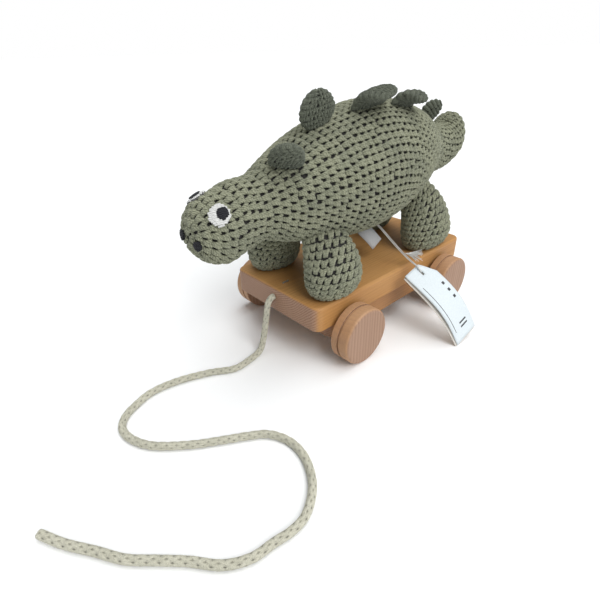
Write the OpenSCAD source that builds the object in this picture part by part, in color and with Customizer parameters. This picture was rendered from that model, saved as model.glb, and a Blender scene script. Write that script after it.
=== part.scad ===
// Pull along toy: a crocheted animal standing on a wooden trolley with four wheels and a pull string.
// Origin at the middle of the footprint on the floor, +X towards the string, +Z up. Millimetres.

/* [Board] */
// Length of the board
deck_length = 170; // [136:1:204]
// Width of the board
deck_width = 86; // [72:1:104]
// Thickness of the board
deck_thickness = 18; // [14:0.5:22]
// Radius of the board's upright corners
deck_corner = 6.5; // [3:0.5:12]
// Radius worn on the board's edges
deck_edge = 2; // [1:0.5:4]
// How far the block under the board stops short of each end
under_end_inset = 17; // [12:0.5:24]
// How far the block under the board stops short of each side
under_side_inset = 3; // [2:0.5:8]
// Thickness of the block under the board
under_thickness = 14; // [12:0.5:18]
// Depth of the axle holes' centre in the block, from its bottom face
under_axle_height = 6.5; // [5.5:0.5:8]

/* [Wheels] */
// Diameter of each wheel
wheel_diameter = 40; // [33:1:48]
// Thickness of each wheel
wheel_thickness = 14; // [11:0.5:17]
// Gap between the board's side and the wheel's inner face
wheel_side_gap = 3; // [2:0.5:5]
// Depth of the turned groove around each rim
groove_depth = 1; // [0.5:0.1:2]
// Width of the turned groove
groove_width = 1.6; // [1:0.1:3]
// Radius worn on the wheel's edges
wheel_edge = 2; // [1:0.5:4]
// Distance from the board's front end to the front axle
front_axle_setback = 29.5; // [24:0.5:40]
// Distance from the board's rear end to the rear axle
rear_axle_setback = 33; // [24:0.5:40]
// Diameter of each axle
axle_diameter = 6; // [5:0.5:7.5]
// Depth of the blind hole in each wheel
hub_hole_depth = 9; // [7:0.5:11]
// Outer diameter of the spacer rings beside the wheels
spacer_diameter = 12; // [10:0.5:16]

/* [String] */
// Diameter of the pull string
string_diameter = 4.5; // [3.5:0.1:6]
// Depth of the string's hole in the board's front end
string_hole_depth = 20; // [16:1:30]
// Distance from the board's front end to the staple that holds the string
staple_setback = 11; // [8:0.5:14]

/* [Animal] */
// Distance of the animal's middle from the board's middle, across
body_offset = 2.5; // [0:0.5:5]
// Gap between the belly's lowest point and the board
belly_gap = 23; // [20:0.5:30]
// Thickness of the crocheted fabric
fabric_thickness = 3; // [2:0.5:4]
// Distance along the board from its middle to the front feet
front_foot_x = 60; // [54:0.5:66]
// Distance along the board from its middle to the hind feet
hind_foot_x = 49; // [43:0.5:55]
// Half length of a front foot
front_foot_rx = 21.5; // [18:0.5:24]
// Half length of a hind foot
hind_foot_rx = 25; // [21:0.5:28]
// Half width of a foot
foot_ry = 16.5; // [14:0.5:18]
// Distance from the animal's middle to the front feet, across
front_foot_y = 30; // [27:0.5:32]
// Distance from the animal's middle to the hind feet, across
hind_foot_y = 28; // [26:0.5:31]
// Thickness of the discs in the feet
disc_thickness = 5; // [3:0.5:7]
// Diameter of the discs in the feet
disc_diameter = 11; // [8:0.5:11]
// Thickness of the stuffed back plates
plate_thickness = 9; // [6:0.5:12]

/* [Tag] */
// Length of the hang tag
tag_length = 62; // [50:1:75]
// Width of the hang tag
tag_width = 24; // [20:1:30]

/* [Hidden] */
$fn = 96;
running_clearance = 0.08;
fit_gap = 0.05;
soft_gap = 0.3;
wall_gap = 0.15;
plate_gap = 1;
spacer_gap = 0.3;

axle_z = wheel_diameter / 2;
under_bottom = axle_z - under_axle_height;
deck_bottom = under_bottom + under_thickness;
deck_top = deck_bottom + deck_thickness;
deck_front = deck_length / 2;
deck_side = deck_width / 2;
wheel_inner = deck_side + wheel_side_gap;
front_axle_x = deck_front - front_axle_setback;
rear_axle_x = -deck_front + rear_axle_setback;
under_length = deck_length - 2 * under_end_inset;
under_width = deck_width - 2 * under_side_inset;
under_corner = 8;
axle_radius = axle_diameter / 2;
spacer_radius = min(spacer_diameter / 2, under_thickness - under_axle_height - 0.5);
axle_half = wheel_inner + hub_hole_depth - 0.5;
string_z = deck_bottom + 11;
string_radius = string_diameter / 2;
string_hole_radius = string_radius + 0.25;
staple_x = deck_front - staple_setback;
screw_radius = 2;
under_screw_x = 26;
under_screw_y = deck_side - 14;
disc_bottom = deck_top + fabric_thickness + 0.1;
foot_screw_top = disc_bottom + disc_thickness - 1;
foot_screw_radius = 2;

// The animal's own outline, from nose to tail. Each row is one ring of the body:
// where it crosses the back line, and where it crosses the belly line.
lift = deck_top + belly_gap - 68.5;
head_x = 122.5;
head_z = 99.6;
head_r = 20.5;
nose_angles = [75, 60, 45, 30, 15, 0];
trunk = [
    [112, 103, 20.7],
    [104, 104, 19.9],
    [96, 105, 19.8],
    [88, 105.6, 23.2],
    [78, 106.4, 27.5],
    [64, 108, 32.6],
    [46, 109.2, 37.5],
    [28, 110.5, 41.2],
    [8, 112.5, 43.2],
    [-12, 114, 41.5],
    [-28, 115, 38],
    [-42, 115.8, 33.6],
    [-54, 116.4, 28.5],
    [-64, 115.2, 23.5],
    [-74, 112.4, 20.2],
    [-84, 111.2, 18.8],
    [-93, 111.2, 18.2]
];
tail = [
    [-97.5, 130, -106, 96.5],
    [-100.3, 131.2, -116.5, 102.5],
    [-101.6, 132.8, -122.3, 111.5],
    [-103, 134.4, -124.3, 120.5],
    [-105, 135.8, -122.6, 129.5],
    [-108.2, 137, -118.2, 134.6]
];
tail_tip = [-113.2, 137.4];
nostril_out = 1.7;
nose_x = head_x + (head_r + nostril_out) * cos(3);
tail_x = -124.3;
frame_shift = -(nose_x + tail_x) / 2;

nose_rows = [for (a = nose_angles) ring_at(head_x + head_r * sin(a), head_z, head_r * cos(a))];
trunk_rows = [for (s = trunk) ring_at(s[0], s[1], s[2])];
outline = concat(nose_rows, trunk_rows, tail);
trunk_z = [for (i = [len(trunk) - 1:-1:0]) [trunk[i][0], trunk[i][1] + lift]];
trunk_r = [for (i = [len(trunk) - 1:-1:0]) [trunk[i][0], trunk[i][2]]];

function ring_at(x, z, r) = [x, z + r, x, z - r];
function spline4(a, b, c, d, t) =
    0.5 * (2 * b + (c - a) * t + (2 * a - 5 * b + 4 * c - d) * t * t + (3 * b - a - 3 * c + d) * t * t * t);
function spline_row(rows, i, t) =
    let (a = rows[max(i - 1, 0)])
    let (b = rows[i])
    let (c = rows[i + 1])
    let (d = rows[min(i + 2, len(rows) - 1)])
    spline4(a, b, c, d, t);
function fine(rows, steps) =
    concat([for (i = [0:len(rows) - 2]) for (k = [0:steps - 1]) spline_row(rows, i, k / steps)],
        [rows[len(rows) - 1]]);

// One ring of the body, with its radius reduced by inset.
function body_ring(row, inset, sides) =
    let (mx = (row[0] + row[2]) / 2)
    let (mz = (row[1] + row[3]) / 2)
    let (ux = (row[0] - row[2]) / 2)
    let (uz = (row[1] - row[3]) / 2)
    let (r = sqrt(ux * ux + uz * uz))
    let (q = (r - inset) / r)
    [for (j = [0:sides - 1])
        let (a = 360 * j / sides)
        [mx + ux * q * cos(a), body_offset + r * q * sin(a), mz + uz * q * cos(a) + lift]];
function nose_ring(angle, inset, sides) =
    let (r = head_r - inset)
    body_ring(ring_at(head_x + r * sin(angle), head_z, r * cos(angle)), 0, sides);
function nose_rim(inset, sides) =
    body_ring(ring_at(head_x + head_r - inset, head_z, 0.8), 0, sides);

function body_z(x) = lookup(x, trunk_z);
function body_r(x) = lookup(x, trunk_r);
// A point on the body at distance x along it, angle round from the belly towards the left side.
function belly_point(x, angle, out) =
    [x, body_offset + (body_r(x) + out) * sin(angle), body_z(x) - (body_r(x) + out) * cos(angle)];

// Closed skin over rows of points. Open ends are closed with flat fans; wrapped rows join end to end.
module skin(rows, wrap) {
    n = len(rows[0]);
    m = len(rows);
    last = wrap ? m - 1 : m - 2;
    walls = [for (i = [0:last]) for (j = [0:n - 1]) for (h = [0, 1])
        h == 0 ? [i * n + j, ((i + 1) % m) * n + j, ((i + 1) % m) * n + (j + 1) % n]
               : [i * n + j, ((i + 1) % m) * n + (j + 1) % n, i * n + (j + 1) % n]];
    first_mid = m * n;
    last_mid = m * n + 1;
    ends = [for (j = [0:n - 1]) for (h = [0, 1])
        h == 0 ? [first_mid, j, (j + 1) % n]
               : [last_mid, (m - 1) * n + (j + 1) % n, (m - 1) * n + j]];
    points = [for (r = rows) each r];
    mids = wrap ? [] : [mean(rows[0]), mean(rows[m - 1])];
    polyhedron(concat(points, mids), wrap ? walls : concat(walls, ends), convexity = 8);
}
function mean(ring) = [for (k = [0:2]) sum([for (p = ring) p[k]]) / len(ring)];
function sum(v, i = 0) = i < len(v) ? v[i] + sum(v, i + 1) : 0;
function reversed(v) = [for (i = [len(v) - 1:-1:0]) v[i]];
function unit(v) = v / norm(v);

module placed() {
    translate([frame_shift, 0, 0])
    children();
}

// Flat board with rounded corners and edges, made of four pucks and two crossing bars.
module puck(radius, height, edge) {
    rotate_extrude()
    intersection() {
        rounded_section(2 * radius, height, edge);
        translate([0, -1])
        square([radius + 1, height + 2]);
    }
}
module rounded_section(width, height, edge) {
    translate([-width / 2 + edge, 0])
    square([width - 2 * edge, height]);
    translate([-width / 2, edge])
    square([width, height - 2 * edge]);
    for (x = [-width / 2 + edge, width / 2 - edge])
        for (y = [edge, height - edge])
            translate([x, y])
            circle(r = edge);
}
module board(length, width, height, corner, edge) {
    px = length / 2 - corner;
    py = width / 2 - corner;
    for (x = [-px, px])
        for (y = [-py, py])
            translate([x, y, 0])
            puck(corner, height, edge);
    rotate([90, 0, 90])
    translate([0, 0, -px])
    linear_extrude(2 * px)
    rounded_section(width, height, edge);
    rotate([90, 0, 0])
    translate([0, 0, -py])
    linear_extrude(2 * py)
    rounded_section(length, height, edge);
}

function foot_sites() = [
    [front_foot_x, body_offset + front_foot_y],
    [front_foot_x, body_offset - front_foot_y],
    [-hind_foot_x, body_offset + hind_foot_y],
    [-hind_foot_x, body_offset - hind_foot_y]
];

module deck() {
    color("burlywood")
    placed()
    difference() {
        translate([0, 0, deck_bottom])
        board(deck_length, deck_width, deck_thickness, deck_corner, deck_edge);
        translate([deck_front - string_hole_depth, 0, string_z])
        rotate([0, 90, 0])
        cylinder(r = string_hole_radius, h = string_hole_depth + 1);
        for (s = foot_sites())
            translate([s[0], s[1], deck_bottom])
            screw_space(deck_thickness + 1);
        for (x = [-under_screw_x, under_screw_x])
            for (y = [-under_screw_y, under_screw_y])
                translate([x, y, deck_bottom - 1])
                cylinder(r = screw_radius + fit_gap, h = 13);
        for (x = [staple_x - 2, staple_x + 2])
            translate([x, body_offset - 2, deck_top - staple_depth() - 0.1])
            cylinder(r = staple_wire() + fit_gap, h = staple_depth() + 1, $fn = 32);
    }
}
function staple_wire() = 0.5;
function staple_depth() = deck_top - string_z;

// Countersunk hole for one foot screw, opening on the underside.
module screw_space(height) {
    translate([0, 0, -1])
    cylinder(r = foot_screw_radius + fit_gap, h = height + 1);
    translate([0, 0, -1])
    cylinder(r = 4 + fit_gap, h = 1.5);
    translate([0, 0, 0.5])
    cylinder(r1 = 4 + fit_gap, r2 = foot_screw_radius + fit_gap, h = 2.5);
}

module under_board() {
    color("tan")
    placed()
    difference() {
        translate([0, 0, under_bottom])
        board(under_length, under_width, under_thickness - fit_gap, under_corner, 1);
        for (x = [front_axle_x, rear_axle_x])
            translate([x, -deck_width, axle_z])
            rotate([-90, 0, 0])
            cylinder(r = axle_radius + running_clearance, h = 2 * deck_width);
        for (x = [-under_screw_x, under_screw_x])
            for (y = [-under_screw_y, under_screw_y])
                translate([x, y, under_bottom - 1]) {
                    cylinder(r = screw_radius + fit_gap, h = under_thickness + 2);
                    cylinder(r = 4 + fit_gap, h = 1.6);
                    translate([0, 0, 1.6])
                    cylinder(r1 = 4 + fit_gap, r2 = screw_radius + fit_gap, h = 2.5);
                }
    }
}

module under_board_screws() {
    color("silver")
    placed()
    for (x = [-under_screw_x, under_screw_x])
        for (y = [-under_screw_y, under_screw_y])
            translate([x, y, under_bottom + 0.2]) {
                cylinder(r = 4, h = 0.4);
                translate([0, 0, 0.4])
                cylinder(r1 = 4, r2 = screw_radius, h = 2.4);
                translate([0, 0, 2.8])
                cylinder(r = screw_radius, h = under_thickness + 12 - 3.5);
            }
}

module foot_screws() {
    color("silver")
    placed()
    for (s = foot_sites())
        translate([s[0], s[1], deck_bottom + 0.1]) {
            cylinder(r = 4, h = 0.4);
            translate([0, 0, 0.4])
            cylinder(r1 = 4, r2 = foot_screw_radius, h = 2.4);
            translate([0, 0, 2.8])
            cylinder(r = foot_screw_radius, h = foot_screw_top - deck_bottom - 2.9);
        }
}

module axle_at(x) {
    placed()
    translate([x, -axle_half, axle_z])
    rotate([-90, 0, 0])
    cylinder(r = axle_radius, h = 2 * axle_half);
}
module front_axle() {
    color("peru")
    axle_at(front_axle_x);
}
module rear_axle() {
    color("peru")
    axle_at(rear_axle_x);
}

module wheel_section() {
    r = wheel_diameter / 2;
    t = wheel_thickness;
    e = wheel_edge;
    g = t * 0.4;
    difference() {
        union() {
            square([r - e, t]);
            square([r, t - e]);
            translate([r - e, t - e])
            circle(r = e);
        }
        translate([r - groove_depth, g - groove_width / 2])
        square([groove_depth + 1, groove_width]);
        translate([-1, -1])
        square([axle_radius + fit_gap + 1, hub_hole_depth + 1]);
    }
}
module wheel_at(x, side) {
    placed()
    translate([x, side * wheel_inner, axle_z])
    rotate([-90 * side, 0, 0])
    rotate_extrude()
    wheel_section();
}
module wheel_front_left() {
    color("sandybrown")
    wheel_at(front_axle_x, 1);
}
module wheel_front_right() {
    color("sandybrown")
    wheel_at(front_axle_x, -1);
}
module wheel_rear_left() {
    color("sandybrown")
    wheel_at(rear_axle_x, 1);
}
module wheel_rear_right() {
    color("sandybrown")
    wheel_at(rear_axle_x, -1);
}

module spacers_at(x) {
    long = wheel_inner - deck_side + under_side_inset - 2 * spacer_gap;
    placed()
    for (side = [-1, 1])
        translate([x, side * (deck_side - under_side_inset + spacer_gap), axle_z])
        rotate([-90 * side, 0, 0])
        difference() {
            cylinder(r = spacer_radius, h = long);
            translate([0, 0, -1])
            cylinder(r = axle_radius + fit_gap, h = long + 2);
        }
}
module axle_spacers_front() {
    color("wheat")
    spacers_at(front_axle_x);
}
module axle_spacers_rear() {
    color("wheat")
    spacers_at(rear_axle_x);
}

module string_staple() {
    color("silver")
    placed()
    translate([staple_x, body_offset - 2, 0]) {
        for (x = [-2, 2])
            translate([x, 0, deck_top - staple_depth()])
            cylinder(r = staple_wire(), h = staple_depth() + 0.6, $fn = 32);
        translate([-2.5, 0, deck_top + 0.6])
        rotate([0, 90, 0])
        cylinder(r = staple_wire(), h = 5, $fn = 32);
    }
}

// The string leaves its hole, falls to the floor and lies there in a loose curve.
string_fall = [
    [-15, 0, 1],
    [-7, 0, 1],
    [0, 0, 1],
    [2.5, 0, 0.985],
    [4.6, 0, 0.92],
    [6, 0, 0.8],
    [7.4, 0, 0.62],
    [9, 0, 0.42],
    [11.2, 0.5, 0.22],
    [14.5, 2, 0.07],
    [19, 3.8, 0.015]
];
string_floor = [
    [28, 5.5],
    [41, 6],
    [55, -2],
    [74.5, -9.5],
    [91, -11.5],
    [103, -8],
    [112, -3],
    [117, 5],
    [116, 16],
    [109.5, 28],
    [95, 41],
    [81.5, 50],
    [68.5, 58],
    [59.5, 65],
    [54.5, 76],
    [55, 88],
    [60, 99],
    [67, 107],
    [77, 113],
    [86, 114],
    [95.5, 112.5],
    [106, 111],
    [116.5, 105],
    [126, 94],
    [135, 85],
    [145, 75],
    [153, 63],
    [162, 50],
    [169, 37]
];
string_points = concat(
    [for (p = string_fall) [deck_front + p[0], p[1], string_radius + p[2] * (string_z - string_radius)]],
    [for (p = string_floor) [deck_front + p[0], p[1], string_radius]]);

// Side vectors carried along the tube so that it never twists.
function carried(points, i) =
    let (d = unit(points[min(i + 1, len(points) - 1)] - points[max(i - 1, 0)]))
    let (p = i == 0 ? [0, 1, 0] : carried(points, i - 1))
    unit(p - (p * d) * d);
module tube(points, radius, sides) {
    m = len(points) - 1;
    rows = [for (i = [0:m])
        let (d = unit(points[min(i + 1, m)] - points[max(i - 1, 0)]))
        let (s = carried(points, i))
        let (t = cross(d, s))
        [for (j = [0:sides - 1])
            points[i] + radius * (cos(360 * j / sides) * s + sin(360 * j / sides) * t)]];
    skin(rows, false);
}

module pull_string() {
    color("ivory")
    placed()
    tube(fine(string_points, 2), string_radius, 10);
}

body_sides = 32;
body_rows = fine(outline, 2);
body_count = len(body_rows);

module body_cover() {
    t = fabric_thickness;
    outer = concat([nose_rim(0, body_sides)], [for (r = body_rows) body_ring(r, 0, body_sides)]);
    inner_nose = [for (a = [0:15:75]) nose_ring(a, t, body_sides)];
    inner_rest = [for (i = [body_count - 4:-1:11]) body_ring(body_rows[i], t, body_sides)];
    inner = concat(inner_rest, inner_nose, [nose_rim(t, body_sides)]);
    color("darkkhaki")
    placed()
    skin(concat(inner, outer), false);
}

module body_filling() {
    t = fabric_thickness + wall_gap;
    rest = [for (i = [body_count - 5:-1:12]) body_ring(body_rows[i], t, body_sides)];
    nose = [for (a = [0, 20, 40, 60, 78]) nose_ring(a, t, body_sides)];
    color("white")
    placed()
    skin(reversed(concat(rest, nose)), false);
}

// Legs: an oval foot with a rounded sole, rising to an oval patch on the side of the belly.
leg_sides = 24;
sole_side = 8;
sole_rise = 14;
function leg_foot(site, rx, ry, inset, angle, a) =
    let (q = inset + sole_side * (1 - sin(angle)))
    [site[0] + (rx - q) * cos(a), site[1] + (ry - q) * sin(a),
        deck_top + fit_gap + inset + (sole_rise - inset) * (1 - cos(angle))];
function leg_patch(top, side, inset, q, a) =
    let (x = top[0] + q * (top[1] - inset) * cos(a))
    let (w = top[2] + side * q * (top[3] - inset * 1.7) * sin(a))
    let (p = belly_point(x, w, soft_gap))
    [p[0], body_offset + side * (p[1] - body_offset), p[2]];
function leg_side(f, t, k) =
    let (m = [f[0] + 0.15 * (t[0] - f[0]), f[1] + 0.15 * (t[1] - f[1]), f[2] + 0.62 * (t[2] - f[2])])
    (1 - k) * (1 - k) * f + 2 * k * (1 - k) * m + k * k * t;
function leg_wall(site, rx, ry, top, side, inset) =
    concat(
        [for (angle = [0, 30, 60, 90])
            [for (j = [0:leg_sides - 1]) leg_foot(site, rx, ry, inset, angle, 360 * j / leg_sides)]],
        [for (k = [0.2, 0.4, 0.6, 0.8, 1])
            [for (j = [0:leg_sides - 1])
                let (a = 360 * j / leg_sides)
                leg_side(leg_foot(site, rx, ry, inset, 90, a), leg_patch(top, side, inset, 1, a), k)]]);
function small_ring(site, z) =
    [for (j = [0:leg_sides - 1])
        [site[0] + (foot_screw_radius + 0.3) * cos(360 * j / leg_sides),
            site[1] + (foot_screw_radius + 0.3) * sin(360 * j / leg_sides), z]];
module leg_cover(site, rx, ry, top, side) {
    outer = leg_wall(site, rx, ry, top, side, 0);
    inner = leg_wall(site, rx, ry, top, side, fabric_thickness);
    under = small_ring(site, deck_top + fit_gap);
    over = small_ring(site, deck_top + fit_gap + fabric_thickness);
    rows = concat([under], outer, reversed(inner), [over]);
    color("darkkhaki")
    placed()
    skin(rows, true);
}
module leg_filling(site, rx, ry, top, side) {
    inset = fabric_thickness + wall_gap;
    all_rows = leg_wall(site, rx, ry, top, side, inset);
    low = disc_bottom + disc_thickness + 0.1;
    kept = [for (r = all_rows) if (r[0][2] > low + 1) r];
    bottom = [for (p = kept[0]) [site[0] + 0.86 * (p[0] - site[0]), site[1] + 0.82 * (p[1] - site[1]), low]];
    cap = [for (q = [0.66, 0.33])
        [for (j = [0:leg_sides - 1]) leg_patch(top, side, inset, q, 360 * j / leg_sides)]];
    color("white")
    placed()
    skin(concat([bottom], kept, cap), false);
}
// Patch on the belly: middle along the body, half length, middle angle round the belly, half angle.
front_patch = [57, 15, 32, 21];
hind_patch = [-44, 12, 31, 21];
sites = foot_sites();

module leg_cover_front_left() {
    leg_cover(sites[0], front_foot_rx, foot_ry, front_patch, 1);
}
module leg_cover_front_right() {
    leg_cover(sites[1], front_foot_rx, foot_ry, front_patch, -1);
}
module leg_cover_rear_left() {
    leg_cover(sites[2], hind_foot_rx, foot_ry, hind_patch, 1);
}
module leg_cover_rear_right() {
    leg_cover(sites[3], hind_foot_rx, foot_ry, hind_patch, -1);
}
module leg_filling_front_left() {
    leg_filling(sites[0], front_foot_rx, foot_ry, front_patch, 1);
}
module leg_filling_front_right() {
    leg_filling(sites[1], front_foot_rx, foot_ry, front_patch, -1);
}
module leg_filling_rear_left() {
    leg_filling(sites[2], hind_foot_rx, foot_ry, hind_patch, 1);
}
module leg_filling_rear_right() {
    leg_filling(sites[3], hind_foot_rx, foot_ry, hind_patch, -1);
}

module foot_disc(site) {
    color("burlywood")
    placed()
    translate([site[0], site[1], disc_bottom])
    difference() {
        cylinder(r = disc_diameter / 2, h = disc_thickness);
        translate([0, 0, -1])
        cylinder(r = foot_screw_radius + fit_gap, h = disc_thickness + 2);
    }
}
module foot_disc_front_left() {
    foot_disc(sites[0]);
}
module foot_disc_front_right() {
    foot_disc(sites[1]);
}
module foot_disc_rear_left() {
    foot_disc(sites[2]);
}
module foot_disc_rear_right() {
    foot_disc(sites[3]);
}

// Back plates: a stuffed leaf standing on the back line and bending over.
// Distance along the body, angle round from the back line, lean to the left, sweep to the rear,
// height, length, length at the root as a share, turn about the root.
function slope_r(x) = (body_r(x + 4) - body_r(x - 4)) / 8;
function slope_z(x) = (body_z(x + 4) - body_z(x - 4)) / 8;
function plate_rows(p) =
    let (r0 = body_r(p[0]) + plate_gap)
    let (base = [p[0], body_offset + r0 * sin(p[1]), body_z(p[0]) + r0 * cos(p[1])])
    let (dr = slope_r(p[0]))
    let (dz = slope_z(p[0]))
    let (t0 = unit([1, dr * sin(p[1]), dz + dr * cos(p[1])]))
    let (n0 = [-(dr + dz * cos(p[1])), sin(p[1]), cos(p[1])])
    let (d0 = unit(n0 - (n0 * t0) * t0))
    let (ty = cos(p[7]) * t0 + sin(p[7]) * cross(d0, t0))
    let (d1 = [-sin(p[3]), sin(p[2]) * cos(p[3]), cos(p[2]) * cos(p[3])])
    let (h = p[4])
    let (mid = base + 0.4 * h * d0)
    let (end = mid + 0.6 * h * d1)
    [for (u = [0, 0.12, 0.25, 0.4, 0.55, 0.7, 0.82, 0.92, 0.98])
        let (c = (1 - u) * (1 - u) * base + 2 * u * (1 - u) * mid + u * u * end)
        let (d = unit((1 - u) * (mid - base) + u * (end - mid)))
        let (chord = unit(ty - (d * ty) * d))
        let (n = cross(d, chord))
        let (full = u > 0.42 ? sqrt(1 - pow((u - 0.42) / 0.58, 2)) : p[6] + (1 - p[6]) * sin(90 * u / 0.42))
        let (slim = u > 0.6 ? sqrt(1 - pow((u - 0.6) / 0.4, 2)) : 0.75 + 0.25 * sin(90 * u / 0.6))
        [for (j = [0:19])
            c + full * p[5] / 2 * cos(18 * j) * chord + slim * plate_thickness / 2 * sin(18 * j) * n]];
module plate(p) {
    color("darkolivegreen")
    placed()
    skin(plate_rows(p), false);
}
module plate_neck() {
    plate([82, 28, 68, 9, 20.5, 20.5, 0.95, -44]);
}
module plate_shoulder() {
    plate([49, 8, 10, -8, 21, 27, 0.6, -5]);
}
module plate_back() {
    plate([12.5, 17, 99, 15, 27, 29, 0.95, -10]);
}
module plate_rump() {
    plate([-17, 24, 115, 25, 23, 27, 1, 0]);
}
module plate_tail() {
    plate([-67, 9, 52, 30, 17.5, 17, 0.95, -7]);
}

// Embroidered patches on the head: thin caps lying on it.
function cap_ring(dir, radius, out, share, sides) =
    let (n = unit(dir))
    let (s = unit(cross([0, 0, 1], n)))
    let (t = cross(n, s))
    let (a = share * radius / head_r * 57.3)
    [for (j = [0:sides - 1])
        [head_x, body_offset, head_z + lift] + (head_r + out)
            * (cos(a) * n + sin(a) * (cos(360 * j / sides) * s + sin(360 * j / sides) * t))];
module patch(dir, radius, low, thick) {
    rows = concat(
        [for (q = [0.3, 0.65, 1]) cap_ring(dir, radius, low, q, 20)],
        [for (q = [0.97, 0.65, 0.3]) cap_ring(dir, radius, low + thick, q, 20)]);
    placed()
    skin(rows, false);
}
left_eye = [7, 14.6, 13];
left_pupil = [5.4, 14.9, 13.2];
right_eye = [6.5, -8.5, 17.2];
right_pupil = [7, -7.4, 17.9];
left_nostril = [19, 8.3, -2.7];
right_nostril = [20.3, -3.7, 0.8];
module eye_white_left() {
    color("white")
    patch(left_eye, 5.8, 0.3, 1.2);
}
module eye_white_right() {
    color("white")
    patch(right_eye, 5.8, 0.3, 1.2);
}
module pupil_left() {
    color("black")
    patch(left_pupil, 3.3, 1.6, 1.2);
}
module pupil_right() {
    color("black")
    patch(right_pupil, 3.3, 1.6, 1.2);
}
module nostril_left() {
    color("black")
    patch(left_nostril, 2.7, 0.3, 1.4);
}
module nostril_right() {
    color("black")
    patch(right_nostril, 2.7, 0.3, 1.4);
}

// Blank care label hanging from the belly: root, tip, half width vector.
label_root = [5, 12, 66.8];
label_tip = [-0.6, 20, 57];
label_half = [-4.7, 0, 2.8];
module care_label() {
    d = unit(label_tip - label_root);
    n = unit(cross(d, label_half)) * 0.3;
    up = [0, 0, lift];
    rows = [for (p = [label_root, label_tip])
        [p + label_half + n + up, p - label_half + n + up, p - label_half - n + up, p + label_half - n + up]];
    color("gainsboro")
    placed()
    skin(rows, false);
}

// Hang tag: two blank cards on a thread.
card_thickness = 0.6;
card_at = [7.5, 52.5, 44.7];
card_turn = [47, 194, 1];
card_clip = 7.5;
card_eye = [13, 6];
module card(shift) {
    placed()
    translate([card_at[0], card_at[1], card_at[2] + deck_top - 45.5])
    rotate(card_turn)
    translate(shift)
    difference() {
        linear_extrude(card_thickness)
        polygon([
            [0, 0], [tag_width - card_clip, 0], [tag_width, 12],
            [tag_width, tag_length], [0, tag_length]
        ]);
        translate([card_eye[0] - shift[0], card_eye[1] - shift[1], -1])
        cylinder(r = 1.4, h = card_thickness + 2, $fn = 32);
    }
}
module tag_front_card() {
    color("white")
    card([0, 0, -0.3]);
}
module tag_back_card() {
    color("white")
    card([-1.2, 1, 0.9]);
}
thread_radius = 0.6;
thread_points = [
    [1, 20, 73.3],
    [0.3, 24, 70.3],
    [-1, 31, 64.5],
    [-2.2, 37, 59.5],
    [-3.3, 42, 55.6],
    [-4.1, 47.5, 52],
    [-4.9, 53.2, 48.9],
    [-6, 57.4, 44.6]
];
module tag_thread() {
    color("white")
    placed()
    tube([for (p = thread_points) [p[0], p[1], p[2] + (deck_top - 45.5)]], thread_radius, 8);
}
module tag_tassel() {
    color("white")
    placed()
    translate([-3.3 - 1, 42 + 1, 55.6 + deck_top - 45.5])
    rotate([0, 0, 137])
    rotate([0, 91, 0])
    cylinder(r1 = 0.5, r2 = 4, h = 12, $fn = 32);
}

deck();
under_board();
under_board_screws();
foot_screws();
front_axle();
rear_axle();
wheel_front_left();
wheel_front_right();
wheel_rear_left();
wheel_rear_right();
axle_spacers_front();
axle_spacers_rear();
string_staple();
pull_string();
body_cover();
body_filling();
leg_cover_front_left();
leg_cover_front_right();
leg_cover_rear_left();
leg_cover_rear_right();
leg_filling_front_left();
leg_filling_front_right();
leg_filling_rear_left();
leg_filling_rear_right();
foot_disc_front_left();
foot_disc_front_right();
foot_disc_rear_left();
foot_disc_rear_right();
plate_neck();
plate_shoulder();
plate_back();
plate_rump();
plate_tail();
eye_white_left();
eye_white_right();
pupil_left();
pupil_right();
nostril_left();
nostril_right();
care_label();
tag_front_card();
tag_back_card();
tag_thread();
tag_tassel();
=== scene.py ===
"""A crocheted dinosaur on a wooden trolley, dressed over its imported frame.

The axes are the frame's own: +X towards the pull string, +Y to the animal's left side and +Z up
from the floor. Sizes with MM are in metres; the others are millimetres from the board's middle.
"""

import logging
import math
from dataclasses import dataclass, field
from enum import Enum
from typing import Callable, Optional, Sequence

import bpy
import numpy as np
from mathutils import Matrix, Vector

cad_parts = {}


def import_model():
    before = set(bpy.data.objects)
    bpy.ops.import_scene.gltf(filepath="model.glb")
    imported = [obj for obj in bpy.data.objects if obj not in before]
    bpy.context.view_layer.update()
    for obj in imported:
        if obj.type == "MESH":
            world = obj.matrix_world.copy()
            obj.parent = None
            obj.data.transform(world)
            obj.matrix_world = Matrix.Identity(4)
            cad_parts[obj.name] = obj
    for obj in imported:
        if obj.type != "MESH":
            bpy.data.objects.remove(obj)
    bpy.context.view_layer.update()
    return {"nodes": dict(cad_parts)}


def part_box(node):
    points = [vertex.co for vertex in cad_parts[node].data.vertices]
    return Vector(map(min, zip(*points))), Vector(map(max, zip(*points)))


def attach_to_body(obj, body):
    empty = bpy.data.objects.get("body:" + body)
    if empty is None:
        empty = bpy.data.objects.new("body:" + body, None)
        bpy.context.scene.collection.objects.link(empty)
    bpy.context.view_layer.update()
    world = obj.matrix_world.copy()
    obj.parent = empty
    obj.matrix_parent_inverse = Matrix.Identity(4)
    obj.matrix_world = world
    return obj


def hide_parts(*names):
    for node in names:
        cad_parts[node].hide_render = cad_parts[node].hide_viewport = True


MM = 0.001
TAU = 2 * math.pi
LOG = logging.getLogger("pull_along_toy")

GROUND_DEPTH = 2.1  # depth of a piece's ground sheet under its stitches, in yarn radii; the sheet's near black colour is painted shade seen through the gaps
HOLE_HEIGHT = 11  # height of the string's hole over the board's underside, in millimetres

Colour = tuple[float, float, float]
Socket = bpy.types.NodeSocket


class Slot(Enum):
    """Material slots of the record, one passed with each new piece."""

    GREEN = "green_yarn"
    DARK_GREEN = "dark_green_yarn"
    WHITE = "white_yarn"
    BLACK = "black_yarn"
    STRING = "cotton_string"
    LABEL = "label_cloth"
    CARD = "tag_card"
    THREAD = "tag_string"


# --------------------------------------------------------------------------- shader helpers


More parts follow.
